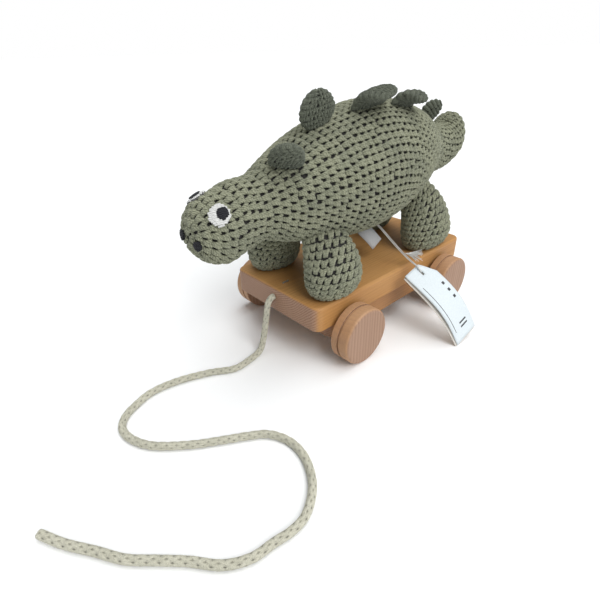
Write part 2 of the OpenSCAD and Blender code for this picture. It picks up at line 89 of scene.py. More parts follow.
class Nodes:
    """A small writer for one node tree, so that every graph reads as a list of steps."""

    def __init__(self, tree: bpy.types.NodeTree) -> None:
        """Start writing in a tree.

        Args:
            tree: The material's or group's node tree.
        """
        self.tree = tree
        self.count = 0

    def add(self, kind: str, inputs: Optional[dict] = None, **props: object) -> bpy.types.Node:
        """Place a node, set its properties and fill its inputs.

        Args:
            kind: Blender's node type.
            inputs: Values, or sockets to link from, by input name or index.
            **props: Node properties to set.

        Returns:
            The new node.
        """
        node = self.tree.nodes.new(kind)
        node.location = (200 * (self.count // 6), -220 * (self.count % 6))
        self.count += 1
        for name, value in props.items():
            setattr(node, name, value)
        for key, value in (inputs or {}).items():
            self.put(node.inputs[key], value)
        return node

    def put(self, socket: Socket, value: object) -> None:
        """Link a socket from another one, or give it a plain value.

        Args:
            socket: The input to fill.
            value: A socket, number, colour or vector.
        """
        if isinstance(value, Socket):
            self.tree.links.new(value, socket)
        elif socket.type == "RGBA" and len(value) == 3:
            socket.default_value = (*value, 1.0)
        else:
            socket.default_value = value

    def math(self, how: str, a: object, b: object = 0.0) -> Socket:
        """Combine two numbers with the named operation."""
        return self.add("ShaderNodeMath", {0: a, 1: b}, operation=how).outputs[0]

    def times(self, a: object, b: object) -> Socket:
        """Multiply two numbers."""
        return self.math("MULTIPLY", a, b)

    def mix(self, share: object, a: object, b: object) -> Socket:
        """Mix two colours; the share says how much of the second one shows."""
        return self.add("ShaderNodeMix", {0: share, 6: a, 7: b}, data_type="RGBA").outputs[2]

    def ramp(self, value: object, low: float, high: float) -> Socket:
        """Stretch a value so that low becomes 0 and high becomes 1, eased at both ends."""
        return self.add("ShaderNodeMapRange", {0: value, 1: low, 2: high, 3: 0.0, 4: 1.0},
                        interpolation_type="SMOOTHSTEP").outputs[0]

    def noise(self, where: object, scale: float, detail: float = 3.0, rough: float = 0.5) -> Socket:
        """Sample soft noise: repeats per unit, octaves and the weight of the fine ones."""
        return self.add("ShaderNodeTexNoise", {"Vector": where, "Scale": scale, "Detail": detail,
                                               "Roughness": rough}).outputs["Fac"]

    def stretched(self, where: object, scale: Sequence[float]) -> Socket:
        """Scale coordinates along each axis."""
        return self.add("ShaderNodeMapping", {"Vector": where, "Scale": tuple(scale)}).outputs[0]


def group(name: str, inputs: dict[str, object], outputs: dict[str, str],
          build: Callable[[Nodes, bpy.types.Node], dict[str, Socket]]) -> bpy.types.NodeTree:
    """Make a shader node group once, or return the one already made.

    Args:
        name: The group's name.
        inputs: Input names with their default values; the value's form gives the socket type.
        outputs: Output names with their socket types.
        build: Writes the inside and returns a socket for each output name.

    Returns:
        The node group.
    """
    if name in bpy.data.node_groups:
        return bpy.data.node_groups[name]
    tree = bpy.data.node_groups.new(name, "ShaderNodeTree")
    for key, value in inputs.items():
        if isinstance(value, float):
            kind = "NodeSocketFloat"
        elif value is None:
            kind = "NodeSocketVector"
        else:
            kind = "NodeSocketColor"
        socket = tree.interface.new_socket(key, in_out="INPUT", socket_type=kind)
        if isinstance(value, float):
            socket.default_value = value
        elif value is not None:
            socket.default_value = (*value, 1.0)
    for key, kind in outputs.items():
        tree.interface.new_socket(key, in_out="OUTPUT", socket_type=kind)
    nodes = Nodes(tree)
    entry = nodes.add("NodeGroupInput")
    results = build(nodes, entry)
    out = nodes.add("NodeGroupOutput")
    for key, socket in results.items():
        tree.links.new(socket, out.inputs[key])
    return tree


def yarn_group() -> bpy.types.NodeTree:
    """Plied yarn: twist ridges with a painted highlight on their crests, painted depth shade and stitch to
    stitch tone, from each strand's own UVs.
    """

    def build(n: Nodes, entry: bpy.types.Node) -> dict[str, Socket]:
        """Write the yarn graph."""
        colour, light, tint, dark, twist = (
            entry.outputs[key] for key in ("Colour", "Light", "Tint", "Dark", "Twist"))
        uv = n.add("ShaderNodeUVMap", uv_map="strand").outputs[0]
        split = n.add("ShaderNodeSeparateXYZ", {0: uv})
        turn = n.times(split.outputs[1], TAU)
        along = n.times(split.outputs[0], twist)
        ply = n.math("SINE", n.times(n.math("ADD", turn, along), 3.0))
        spot = n.add("ShaderNodeTexCoord").outputs["Object"]
        fibre = n.noise(spot, 2600.0, 2.0, 0.6)
        patch = n.noise(spot, 70.0, 2.0, 0.5)
        tone = n.add("ShaderNodeVertexColor", layer_name="stitch").outputs[0]
        parts = n.add("ShaderNodeSeparateColor", {0: tone})
        depth = n.ramp(parts.outputs[1], 0.0, 1.0)
        ridge = n.ramp(ply, -1.0, 0.6)
        # Painted highlight: the crests of the plies are mixed towards the light colour.
        lit = n.mix(n.times(ridge, 0.8), colour, light)
        worn = n.mix(n.times(n.ramp(patch, 0.35, 0.7), 0.35), lit, tint)
        varied = n.mix(n.times(parts.outputs[0], 0.35), worn, light)
        furry = n.mix(n.times(n.ramp(fibre, 0.55, 0.3), 0.4), varied, dark)
        # Painted shade: the lower the strand's height, the more its colour is mixed towards the dark colour.
        shaded = n.mix(depth, dark, furry)
        height = n.math("ADD", n.times(ply, 0.5), n.times(fibre, 0.5))
        return {"Colour": shaded, "Height": height}

    return group("plied yarn",
                 {"Colour": (0.3, 0.3, 0.2), "Light": (0.5, 0.5, 0.4), "Tint": (0.3, 0.3, 0.3),
                  "Dark": (0.05, 0.05, 0.04), "Twist": 9.0},
                 {"Colour": "NodeSocketColor", "Height": "NodeSocketFloat"}, build)


def wood_group() -> bpy.types.NodeTree:
    """Steamed beech: growth rings round a far off heart, pores, flecks and a darker end grain."""

    def build(n: Nodes, entry: bpy.types.Node) -> dict[str, Socket]:
        """Write the wood graph. Local X is the grain's direction."""
        spot, dark = entry.outputs["Place"], entry.outputs["Dark"]
        soft = n.noise(n.stretched(spot, (6, 40, 40)), 1.0, 2.0, 0.5)
        split = n.add("ShaderNodeSeparateXYZ", {0: spot})
        side = n.math("SUBTRACT", split.outputs[1], entry.outputs["Heart side"])
        down = n.math("SUBTRACT", split.outputs[2], entry.outputs["Heart height"])
        far = n.math("SQRT", n.math("ADD", n.times(side, side), n.times(down, down)))
        wavy = n.math("ADD", far, n.times(n.math("SUBTRACT", soft, 0.5), 0.006))
        cycle = n.math("FRACT", n.times(wavy, entry.outputs["Rings"]))
        late = n.math("POWER", cycle, 1.6)
        line = n.times(late, n.ramp(cycle, 1.0, 0.9))
        streak = n.noise(n.stretched(spot, (25, 900, 900)), 1.0, 3.0, 0.6)
        pore = n.noise(n.stretched(spot, (160, 2600, 2600)), 1.0, 2.0, 0.6)
        fleck = n.ramp(pore, 0.6, 0.72)
        cloud = n.noise(n.stretched(spot, (12, 30, 30)), 1.0, 2.0, 0.5)
        base = n.mix(n.ramp(cloud, 0.3, 0.7), entry.outputs["Light"], entry.outputs["Mid"])
        ringed = n.mix(n.times(line, 0.20), base, dark)
        streaked = n.mix(n.times(n.ramp(streak, 0.45, 0.75), 0.24), ringed, dark)
        flecked = n.mix(n.times(fleck, 0.28), streaked, dark)
        end_tone = n.math("ADD", n.times(line, 0.85), n.times(n.ramp(streak, 0.4, 0.7), 0.25))
        end_grain = n.mix(end_tone, entry.outputs["End"], dark)
        ended = n.mix(entry.outputs["End share"], flecked, end_grain)
        height = n.math("SUBTRACT", n.times(line, -0.4), n.times(fleck, 0.5))
        rough = n.math("ADD", 0.42, n.times(streak, 0.22))
        return {"Colour": ended, "Height": height, "Roughness": rough}

    return group("beech", {"Place": None, "Light": (0.5, 0.3, 0.2), "Mid": (0.45, 0.28, 0.16),
                           "Dark": (0.2, 0.1, 0.05), "End": (0.4, 0.25, 0.2), "End share": 0.0,
                           "Heart side": 0.02, "Heart height": -0.06, "Rings": 420.0},
                 {"Colour": "NodeSocketColor", "Height": "NodeSocketFloat",
                  "Roughness": "NodeSocketFloat"}, build)


def new_material(name: str) -> tuple[bpy.types.Material, Nodes, bpy.types.Node]:
    """Start a material that holds only a Principled shader and its output.

    Args:
        name: The material's name.

    Returns:
        The material, its writer and its shader node.
    """
    material = bpy.data.materials.new(name)
    material.use_nodes = True
    material.node_tree.nodes.clear()
    nodes = Nodes(material.node_tree)
    out = nodes.add("ShaderNodeOutputMaterial")
    shader = nodes.add("ShaderNodeBsdfPrincipled")
    material.node_tree.links.new(shader.outputs[0], out.inputs[0])
    return material, nodes, shader


# --------------------------------------------------------------------------- finishes


@dataclass(frozen=True)
class YarnFinish:
    """Cotton yarn as it looks once crocheted; its light colour also serves as the painted highlight on the
    plies' crests and its dark colour as the painted shade deep in the stitches.
    """

    name: str
    colour: Colour
    light: Colour
    tint: Colour
    dark: Colour
    twist: float = 9.0
    relief: float = 0.25 * MM

    def make(self) -> bpy.types.Material:
        """Build the yarn's material."""
        material, n, shader = new_material(self.name)
        yarn = n.add("ShaderNodeGroup", node_tree=yarn_group())
        for key, value in (("Colour", self.colour), ("Light", self.light), ("Tint", self.tint),
                           ("Dark", self.dark), ("Twist", self.twist)):
            n.put(yarn.inputs[key], value)
        bump = n.add("ShaderNodeBump", {"Height": yarn.outputs["Height"], "Strength": 0.9,
                                        "Distance": self.relief})
        for key, value in (("Base Color", yarn.outputs["Colour"]), ("Normal", bump.outputs[0]),
                           ("Roughness", 0.92), ("Specular IOR Level", 0.15),
                           ("Sheen Weight", 0.12), ("Sheen Roughness", 0.5)):
            n.put(shader.inputs[key], value)
        return material


@dataclass(frozen=True)
class WoodFinish:
    """Oiled beech, with its grain along one axis of the frame."""

    name: str
    light: Colour
    mid: Colour
    dark: Colour
    end_colour: Colour
    grain: Vector
    end: Vector
    heart: tuple[float, float]
    rings: float = 650.0
    gloss: float = 0.4
    relief: float = 0.08 * MM

    def make(self) -> bpy.types.Material:
        """Build the wood's material, darker where the surface faces along the grain."""
        material, n, shader = new_material(self.name)
        coords = n.add("ShaderNodeTexCoord")
        turn = self.grain.rotation_difference(Vector((1, 0, 0))).to_euler()
        place = n.add("ShaderNodeMapping", {"Vector": coords.outputs["Object"],
                                            "Rotation": tuple(turn)}).outputs[0]
        facing = n.add("ShaderNodeVectorMath", {0: coords.outputs["Normal"], 1: tuple(self.end)},
                       operation="DOT_PRODUCT")
        share = n.ramp(n.math("ABSOLUTE", facing.outputs["Value"]), 0.55, 0.95)
        wood = n.add("ShaderNodeGroup", node_tree=wood_group())
        for key, value in (("Place", place), ("Light", self.light), ("Mid", self.mid),
                           ("Dark", self.dark), ("End", self.end_colour), ("End share", share),
                           ("Heart side", self.heart[0]), ("Heart height", self.heart[1]),
                           ("Rings", self.rings)):
            n.put(wood.inputs[key], value)
        bump = n.add("ShaderNodeBump", {"Height": wood.outputs["Height"], "Strength": 0.35,
                                        "Distance": self.relief})
        for key, value in (("Base Color", wood.outputs["Colour"]), ("Normal", bump.outputs[0]),
                           ("Roughness", wood.outputs["Roughness"]),
                           ("Specular IOR Level", self.gloss)):
            n.put(shader.inputs[key], value)
        return material


@dataclass(frozen=True)
class PlainFinish:
    """A fine even material with a little mottling: paper, woven tape or metal."""

    name: str
    colour: Colour
    other: Colour
    scale: float
    roughness: float
    metallic: float = 0.0
    relief: float = 0.02 * MM

    def make(self) -> bpy.types.Material:
        """Build the material."""
        material, n, shader = new_material(self.name)
        spot = n.add("ShaderNodeTexCoord").outputs["Object"]
        fine = n.noise(spot, self.scale, 3.0, 0.6)
        mottled = n.mix(n.ramp(fine, 0.35, 0.65), self.colour, self.other)
        bump = n.add("ShaderNodeBump", {"Height": fine, "Strength": 0.4, "Distance": self.relief})
        for key, value in (("Base Color", mottled), ("Normal", bump.outputs[0]),
                           ("Roughness", self.roughness), ("Metallic", self.metallic)):
            n.put(shader.inputs[key], value)
        return material


GREEN_YARN = YarnFinish("sage yarn", (0.165, 0.172, 0.116), (0.39, 0.40, 0.28), (0.135, 0.148, 0.115),
                        (0.028, 0.028, 0.024))
# Painted shade: a near black sheet under the sage stitches stands for the shade seen through the gaps.
GREEN_GAP_SHADE = YarnFinish("painted shade in the sage gaps", (0.038, 0.036, 0.034), (0.055, 0.052, 0.048),
                          (0.045, 0.043, 0.040), (0.022, 0.021, 0.021))
DARK_YARN = YarnFinish("moss yarn", (0.080, 0.092, 0.066), (0.19, 0.205, 0.155), (0.075, 0.086, 0.07),
                       (0.010, 0.012, 0.009))
# Painted shade: a near black sheet under the moss stitches stands for the shade seen through the gaps.
DARK_GAP_SHADE = YarnFinish("painted shade in the moss gaps", (0.018, 0.020, 0.015), (0.03, 0.03, 0.025),
                         (0.015, 0.016, 0.013), (0.008, 0.008, 0.007))
WHITE_YARN = YarnFinish("white yarn", (0.68, 0.68, 0.66), (0.84, 0.84, 0.82), (0.60, 0.60, 0.60),
                        (0.35, 0.35, 0.34))
BLACK_YARN = YarnFinish("black yarn", (0.012, 0.012, 0.015), (0.035, 0.036, 0.042), (0.015, 0.015, 0.02),
                        (0.003, 0.003, 0.004))
CREAM_YARN = YarnFinish("cream braid", (0.62, 0.60, 0.46), (0.86, 0.84, 0.70), (0.56, 0.55, 0.43),
                        (0.16, 0.15, 0.12))
THREAD_YARN = YarnFinish("white thread", (0.84, 0.83, 0.79), (0.93, 0.92, 0.89), (0.80, 0.79, 0.76),
                         (0.50, 0.49, 0.46))
ALONG, ACROSS, UPRIGHT = Vector((1, 0, 0)), Vector((0, 1, 0)), Vector((0, 0, 1))
BOARD_WOOD = WoodFinish("beech board", (0.56, 0.300, 0.105), (0.48, 0.240, 0.078), (0.20, 0.090, 0.035),
                        (0.41, 0.245, 0.165), ALONG, ALONG, (-0.010, 0.084))
BLOCK_WOOD = WoodFinish("beech block", (0.46, 0.25, 0.105), (0.40, 0.20, 0.08), (0.20, 0.09, 0.035),
                        (0.30, 0.17, 0.11), ALONG, ALONG, (-0.05, 0.12))
WHEEL_WOOD = WoodFinish("beech wheels", (0.50, 0.285, 0.150), (0.44, 0.235, 0.115), (0.27, 0.150, 0.090),
                        (0.39, 0.240, 0.162), UPRIGHT, ACROSS, (0.03, 0.11), 350.0)
AXLE_WOOD = WoodFinish("birch dowels", (0.50, 0.33, 0.19), (0.44, 0.28, 0.15), (0.2, 0.1, 0.05),
                       (0.36, 0.22, 0.14), ACROSS, ACROSS, (0.02, 0.03), 500.0)
PAPER = PlainFinish("tag card", (0.70, 0.76, 0.79), (0.66, 0.72, 0.75), 900.0, 0.62)
PAPER_BACK = PlainFinish("tag back card", (0.78, 0.74, 0.68), (0.72, 0.67, 0.60), 900.0, 0.7)
INK = PlainFinish("printed ink", (0.03, 0.03, 0.035), (0.05, 0.05, 0.055), 1500.0, 0.55)
TAPE = PlainFinish("woven label", (0.50, 0.51, 0.52), (0.40, 0.41, 0.42), 2200.0, 0.8, 0.0, 0.06 * MM)
STEEL = PlainFinish("staple wire", (0.80, 0.79, 0.76), (0.66, 0.65, 0.62), 1500.0, 0.3, 0.85)


class Wardrobe:
    """Keeps one material for each finish, made the first time it is asked for."""

    def __init__(self) -> None:
        """Start with no materials."""
        self.made: dict[str, bpy.types.Material] = {}

    def of(self, finish: YarnFinish | WoodFinish | PlainFinish) -> bpy.types.Material:
        """Return the finish's material."""
        if finish.name not in self.made:
            self.made[finish.name] = finish.make()
        return self.made[finish.name]


WARDROBE = Wardrobe()


# --------------------------------------------------------------------------- meshes


def unit(v: np.ndarray) -> np.ndarray:
    """Scale vectors along the last axis to length one."""
    return v / np.maximum(np.linalg.norm(v, axis=-1, keepdims=True), 1e-12)


def spline(points: np.ndarray, steps: int) -> np.ndarray:
    """Pass a smooth curve through points, with the ends doubled.

    Args:
        points: Rows of coordinates.
        steps: Pieces between neighbouring points.

    Returns:
        The finer rows.
    """
    p = np.asarray(points, float)
    padded = np.vstack([p[:1], p, p[-1:]])
    t = (np.arange(steps) / steps)[:, None]
    rows = []
    for i in range(len(p) - 1):
        a, b, c, d = padded[i:i + 4]
        rows.append(0.5 * (2 * b + (c - a) * t + (2 * a - 5 * b + 4 * c - d) * t**2
                           + (3 * b - a - 3 * c + d) * t**3))
    return np.vstack(rows + [p[-1:]])


@dataclass
class MeshData:
    """Vertices, quads and their strand coordinates, before they become an object."""

    points: np.ndarray
    faces: np.ndarray
    uv: np.ndarray
    tone: np.ndarray

    def to_object(self, name: str, material: bpy.types.Material) -> bpy.types.Object:
        """Write the mesh into the scene.

        Args:
            name: The object's name.
            material: Its material.

        Returns:
            The new object.
        """
        mesh = bpy.data.meshes.new(name)
        size = self.faces.shape[1]
        mesh.vertices.add(len(self.points))
        mesh.vertices.foreach_set("co", self.points.astype(np.float32).ravel())
        mesh.loops.add(self.faces.size)
        mesh.loops.foreach_set("vertex_index", self.faces.astype(np.int32).ravel())
        mesh.polygons.add(len(self.faces))
        mesh.polygons.foreach_set("loop_start", np.arange(0, self.faces.size, size, dtype=np.int32))
        mesh.update(calc_edges=True)
        mesh.shade_smooth()
        layer = mesh.uv_layers.new(name="strand")
        layer.uv.foreach_set("vector", self.uv[self.faces.ravel()].astype(np.float32).ravel())
        colours = mesh.color_attributes.new("stitch", "FLOAT_COLOR", "POINT")
        flat = np.ones((len(self.points), 4), np.float32)
        flat[:, :2] = self.tone
        colours.data.foreach_set("color", flat.ravel())
        mesh.materials.append(material)
        made = bpy.data.objects.new(name, mesh)
        bpy.context.scene.collection.objects.link(made)
        return made


def joined(parts: Sequence[MeshData]) -> MeshData:
    """Put several meshes with equal face sizes in one."""
    shift = np.cumsum([0] + [len(p.points) for p in parts[:-1]])
    return MeshData(np.vstack([p.points for p in parts]),
                    np.vstack([p.faces + s for p, s in zip(parts, shift)]),
                    np.vstack([p.uv for p in parts]), np.vstack([p.tone for p in parts]))


def from_faces(name: str, points: Sequence[Sequence[float]], faces: Sequence[tuple[int, ...]],
               finish: PlainFinish) -> bpy.types.Object:
    """Put a thin sheet of faces into the scene.

    Args:
        name: The object's name.
        points: Its points in metres.
        faces: Point numbers of each face.
        finish: Its material.

    Returns:
        The new object.
    """
    mesh = bpy.data.meshes.new(name)
    mesh.from_pydata([tuple(p) for p in points], [], faces)
    mesh.materials.append(WARDROBE.of(finish))
    made = bpy.data.objects.new(name, mesh)
    bpy.context.scene.collection.objects.link(made)
    return made


def thicken(piece: bpy.types.Object, thickness: float, offset: float) -> None:
    """Give a sheet its thickness; an offset of 0 is to both sides and -1 is to its back."""
    solid = piece.modifiers.new("thickness", "SOLIDIFY")
    solid.thickness = thickness
    solid.offset = offset
    piece.data.shade_smooth()


def attach(piece: bpy.types.Object, slot: Slot, *nodes: str) -> None:
    """Ride a piece on the trolley.

    Args:
        piece: The piece.
        slot: The record slot that it stands for; not used.
        *nodes: CAD nodes that it stands for.
    """
    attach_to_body(piece, "trolley")
    if nodes:
        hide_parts(*nodes)


def quads(index: np.ndarray) -> np.ndarray:
    """Join a grid of point numbers with quads, closed round its last axis."""
    turned = np.roll(index, -1, axis=-1)
    return np.stack([index[..., :-1, :], turned[..., :-1, :], turned[..., 1:, :],
                     index[..., 1:, :]], axis=-1).reshape(-1, 4)


def swept(centres: np.ndarray, side: np.ndarray, out: np.ndarray, radii: np.ndarray, flat: float,
          sides: int, tone: np.ndarray) -> MeshData:
    """Sweep many short strands at once.

    Args:
        centres: Strand points, shaped strands by rings by 3.
        side: Unit vectors across each strand in the fabric's plane, the same shape.
        out: Unit vectors out of the fabric, the same shape.
        radii: Radius at each ring, shaped strands by rings.
        flat: Share of the radius that stands out of the fabric.
        sides: Points round each ring.
        tone: Tone and height at each ring, shaped strands by rings by 2; the height sets how much painted
            shade the yarn shader puts there.

    Returns:
        All strands in one mesh, with UVs along and round each strand.
    """
    count, rings = radii.shape
    angle = TAU * np.arange(sides) / sides
    ring = (np.cos(angle)[None, None, :, None] * side[:, :, None, :]
            + flat * np.sin(angle)[None, None, :, None] * out[:, :, None, :])
    points = centres[:, :, None, :] + radii[:, :, None, None] * ring
    index = np.arange(count * rings * sides).reshape(count, rings, sides)
    uv = np.empty((count, rings, sides, 2))
    uv[..., 0] = np.linspace(0, 1, rings)[None, :, None]
    uv[..., 1] = (np.arange(sides) / sides)[None, None, :]
    tones = np.repeat(tone[:, :, None, :], sides, axis=2)
    # Painted shade: the side of each strand facing into the fabric gets less height, so it is shaded darker,
    # and the outer side lighter.
    tones[..., 1] = np.clip(tones[..., 1] + 0.35 * np.sin(angle)[None, None, :], 0, 1)
    return MeshData(points.reshape(-1, 3), quads(index), uv.reshape(-1, 2), tones.reshape(-1, 2))


@dataclass(frozen=True)
class Gauge:
    """How a piece was crocheted.

    Attributes:
        width: Width of a stitch along its round, in metres.
        height: Height of a round, in metres.
        yarn: Radius of the yarn, in metres.
        drift: Share of a stitch by which each round starts later than the last.
        spread: Distance of a stitch's upper ends from its middle, in stitch widths.
        foot: The same at its lower ends.
        waist: Share of the strand over which it closes from the one to the other.
        lean: Share of a width by which a stitch leans.
        reach: Length of a stitch in rounds.
        bar: Height of the bar behind a stitch, in rounds from its middle.
        sides: Points round a strand.
        rings: Rings along a strand.
        lift: Height of the strands over the surface, in yarn radii.
        arch: How far a strand dips in at its ends, in yarn radii.
        uneven: Spread of the stitches' places, in stitch sizes.
        uneven_size: Spread of the stitches' sizes.
    """

    width: float = 4.9 * MM
    height: float = 5.2 * MM
    yarn: float = 1.08 * MM
    drift: float = 0.17
    spread: float = 0.31
    foot: float = 0.125
    waist: float = 0.7
    lean: float = 0.10
    reach: float = 1.0
    bar: float = 0.28
    sides: int = 7
    rings: int = 6
    lift: float = -0.75
    arch: float = 1.5
    uneven: float = 0.06
    uneven_size: float = 0.05


class Skin:
    """A smooth surface through rings of points, on which stitches are laid."""

    def __init__(self, rings: np.ndarray) -> None:
        """Keep the rings and measure the surface.

        Args:
            rings: Points shaped rows by columns by 3, closed round the columns.
        """
        self.rings = np.asarray(rings, float)
        self.rows, self.columns = self.rings.shape[:2]
        step = np.linalg.norm(np.diff(self.rings, axis=0), axis=2).mean(axis=1)
        self.along = np.concatenate([[0.0], np.cumsum(step)])
        self.round = np.linalg.norm(self.rings - np.roll(self.rings, -1, axis=1), axis=2).sum(axis=1)
        down = np.gradient(self.rings, axis=0)
        across = np.roll(self.rings, -1, axis=1) - np.roll(self.rings, 1, axis=1)
        self.normals = unit(np.cross(across, down))
        self.length = float(self.along[-1])

    def sample(self, grid: np.ndarray, distance: np.ndarray, turn: np.ndarray) -> np.ndarray:
        """Read a grid of values at places on the surface.

        Args:
            grid: Values shaped rows by columns by 3.
            distance: Distance along the surface from its first row.
            turn: Share of a turn round it.

        Returns:
            The value at each place.
        """
        row = np.interp(np.clip(distance, 0, self.length), self.along, np.arange(self.rows))
        i = np.clip(np.floor(row).astype(int), 0, self.rows - 2)
        f = (row - i)[..., None]
        column = np.mod(turn, 1.0) * self.columns
        j = np.floor(column).astype(int) % self.columns
        g = (column - np.floor(column))[..., None]
        k = (j + 1) % self.columns
        return ((1 - f) * ((1 - g) * grid[i, j] + g * grid[i, k])
                + f * ((1 - g) * grid[i + 1, j] + g * grid[i + 1, k]))

    def place(self, distance: np.ndarray, turn: np.ndarray, out: np.ndarray) -> np.ndarray:
        """Find points at a distance along the surface, a turn round it and a height over it."""
        return (self.sample(self.rings, distance, turn)
                + out[..., None] * unit(self.sample(self.normals, distance, turn)))

    def offset(self, depth: float) -> MeshData:
        """Make the closed smooth surface under the stitches.

        Args:
            depth: How far under the stitches' middle it lies.

        Returns:
            The surface as quads, with its ends gathered to points.
        """
        grid = self.rings - depth * self.normals
        first = np.repeat(grid[:1].mean(axis=1, keepdims=True), self.columns, axis=1)
        last = np.repeat(grid[-1:].mean(axis=1, keepdims=True), self.columns, axis=1)
        grid = np.concatenate([first, grid, last])
        rows = len(grid)
        index = np.arange(rows * self.columns).reshape(rows, self.columns)
        uv = np.stack(np.meshgrid(np.linspace(0, 40, rows), np.linspace(0, 40, self.columns),
                                  indexing="ij"), -1)
        tone = np.full((rows * self.columns, 2), (0.3, 0.7))
        return MeshData(grid.reshape(-1, 3), quads(index), uv.reshape(-1, 2), tone)

    def strand(self, distance: np.ndarray, turn: np.ndarray, out: np.ndarray, radii: np.ndarray,
               gauge: Gauge, tone: np.ndarray) -> MeshData:
        """Lay strands along paths on the surface.

        Args:
            distance: Distance along the surface of each strand point, strands by rings.
            turn: Share of a turn of each strand point.
            out: Height of each strand point.
            radii: Radius at each strand point.
            gauge: The crochet gauge.
            tone: One tone for each strand.

        Returns:
            The strands' mesh.
        """
        centres = self.place(distance, turn, out)
        normal = unit(self.sample(self.normals, distance, turn))
        along = unit(np.gradient(centres, axis=1))
        side = unit(np.cross(along, normal))
        up = np.cross(side, along)
        # Painted shade: points that lie deeper under the surface get less height and so a darker shade.
        height = np.clip(1.0 + 0.45 * (out / gauge.yarn - gauge.lift), 0.0, 1.0)
        tones = np.stack([np.repeat(tone[:, None], distance.shape[1], axis=1), height], axis=-1)
        return swept(centres, side, up, radii, 0.85, gauge.sides, tones)

    def stitches(self, gauge: Gauge, seed: int, part: tuple[float, float] = (0.0, 1.0)) -> MeshData:
        """Crochet the surface in rounds of plump V shaped stitches.

        Args:
            gauge: Stitch size and yarn.
            seed: Seed for the small unevenness of handwork.
            part: Share of the surface's length to cover, from and to.

        Returns:
            Every strand of every stitch.
        """
        rng = np.random.default_rng(seed)
        rounds = max(2, int(round(self.length / gauge.height)))
        pitch = self.length / rounds
        distance, turn, width, loop = [], [], [], []
        phase = 0.0
        for i in range(rounds):
            middle = (i + 0.5) * pitch
            phase += gauge.drift
            if not part[0] <= middle / self.length < part[1]:
                continue
            reach = float(np.interp(middle, self.along, self.round))
            count = max(5, int(round(reach / gauge.width)))
            distance.append(np.full(count, middle))
            turn.append((np.arange(count) + phase) / count)
            width.append(np.full(count, 1.0 / count))
            loop.append(np.full(count, reach / count))
        d0, t0, w0, real = (np.concatenate(v) for v in (distance, turn, width, loop))
        total = len(d0)
        d0 = (d0 + rng.normal(0, gauge.uneven, total) * pitch)[:, None]
        t0 = (t0 + rng.normal(0, gauge.uneven, total) * w0)[:, None]
        size = (1 + rng.normal(0, gauge.uneven_size, total))[:, None]
        slim = np.clip(real / gauge.width, 0.7, 1.1)[:, None]
        tone = rng.uniform(0, 1, total)
        w0 = w0[:, None]
        s = np.linspace(0, 1, gauge.rings)[None, :]
        bell = np.sin(np.pi * np.clip(0.1 + 0.8 * s, 0, 1))
        shut = np.clip(s / gauge.waist, 0, 1)
        shut = shut * shut * (3 - 2 * shut)
        parts = []
        for hand in (-1.0, 1.0):
            across = hand * (gauge.spread + (gauge.foot - gauge.spread) * shut) * w0
            down = d0 + (0.5 - s) * gauge.reach * pitch * size
            across = across + gauge.lean * (0.5 - s) * w0
            out = gauge.yarn * (gauge.lift - gauge.arch + gauge.arch * bell) * np.ones_like(across)
            radii = gauge.yarn * (0.78 + 0.26 * bell) * slim * size
            parts.append(self.strand(down, t0 + across, out, radii, gauge,
                                     np.clip(tone + 0.2 * hand, 0, 1)))
        across = (s - 0.5) * 1.2 * w0
        down = d0 + (gauge.bar + 0.16 * (s - 0.5)) * pitch
        out = gauge.yarn * (gauge.lift - 1.15 + 0.5 * bell) * np.ones_like(across)
        radii = gauge.yarn * (0.70 + 0.15 * bell) * slim
        parts.append(self.strand(down, t0 + across, out, radii, gauge, tone * 0.8))
        return joined(parts)


def ring_frame(centre: np.ndarray, a: np.ndarray, b: np.ndarray, columns: int) -> np.ndarray:
    """Return one ring of points round a centre, from two half axes."""
    angle = TAU * np.arange(columns) / columns
    return centre + np.cos(angle)[:, None] * a + np.sin(angle)[:, None] * b


def dense(rings: np.ndarray, steps: int) -> np.ndarray:
    """Refine rings along their rows with a smooth curve through every column."""
    rows, columns = rings.shape[:2]
    return spline(rings.reshape(rows, -1), steps).reshape(-1, columns, 3)


# --------------------------------------------------------------------------- the studio


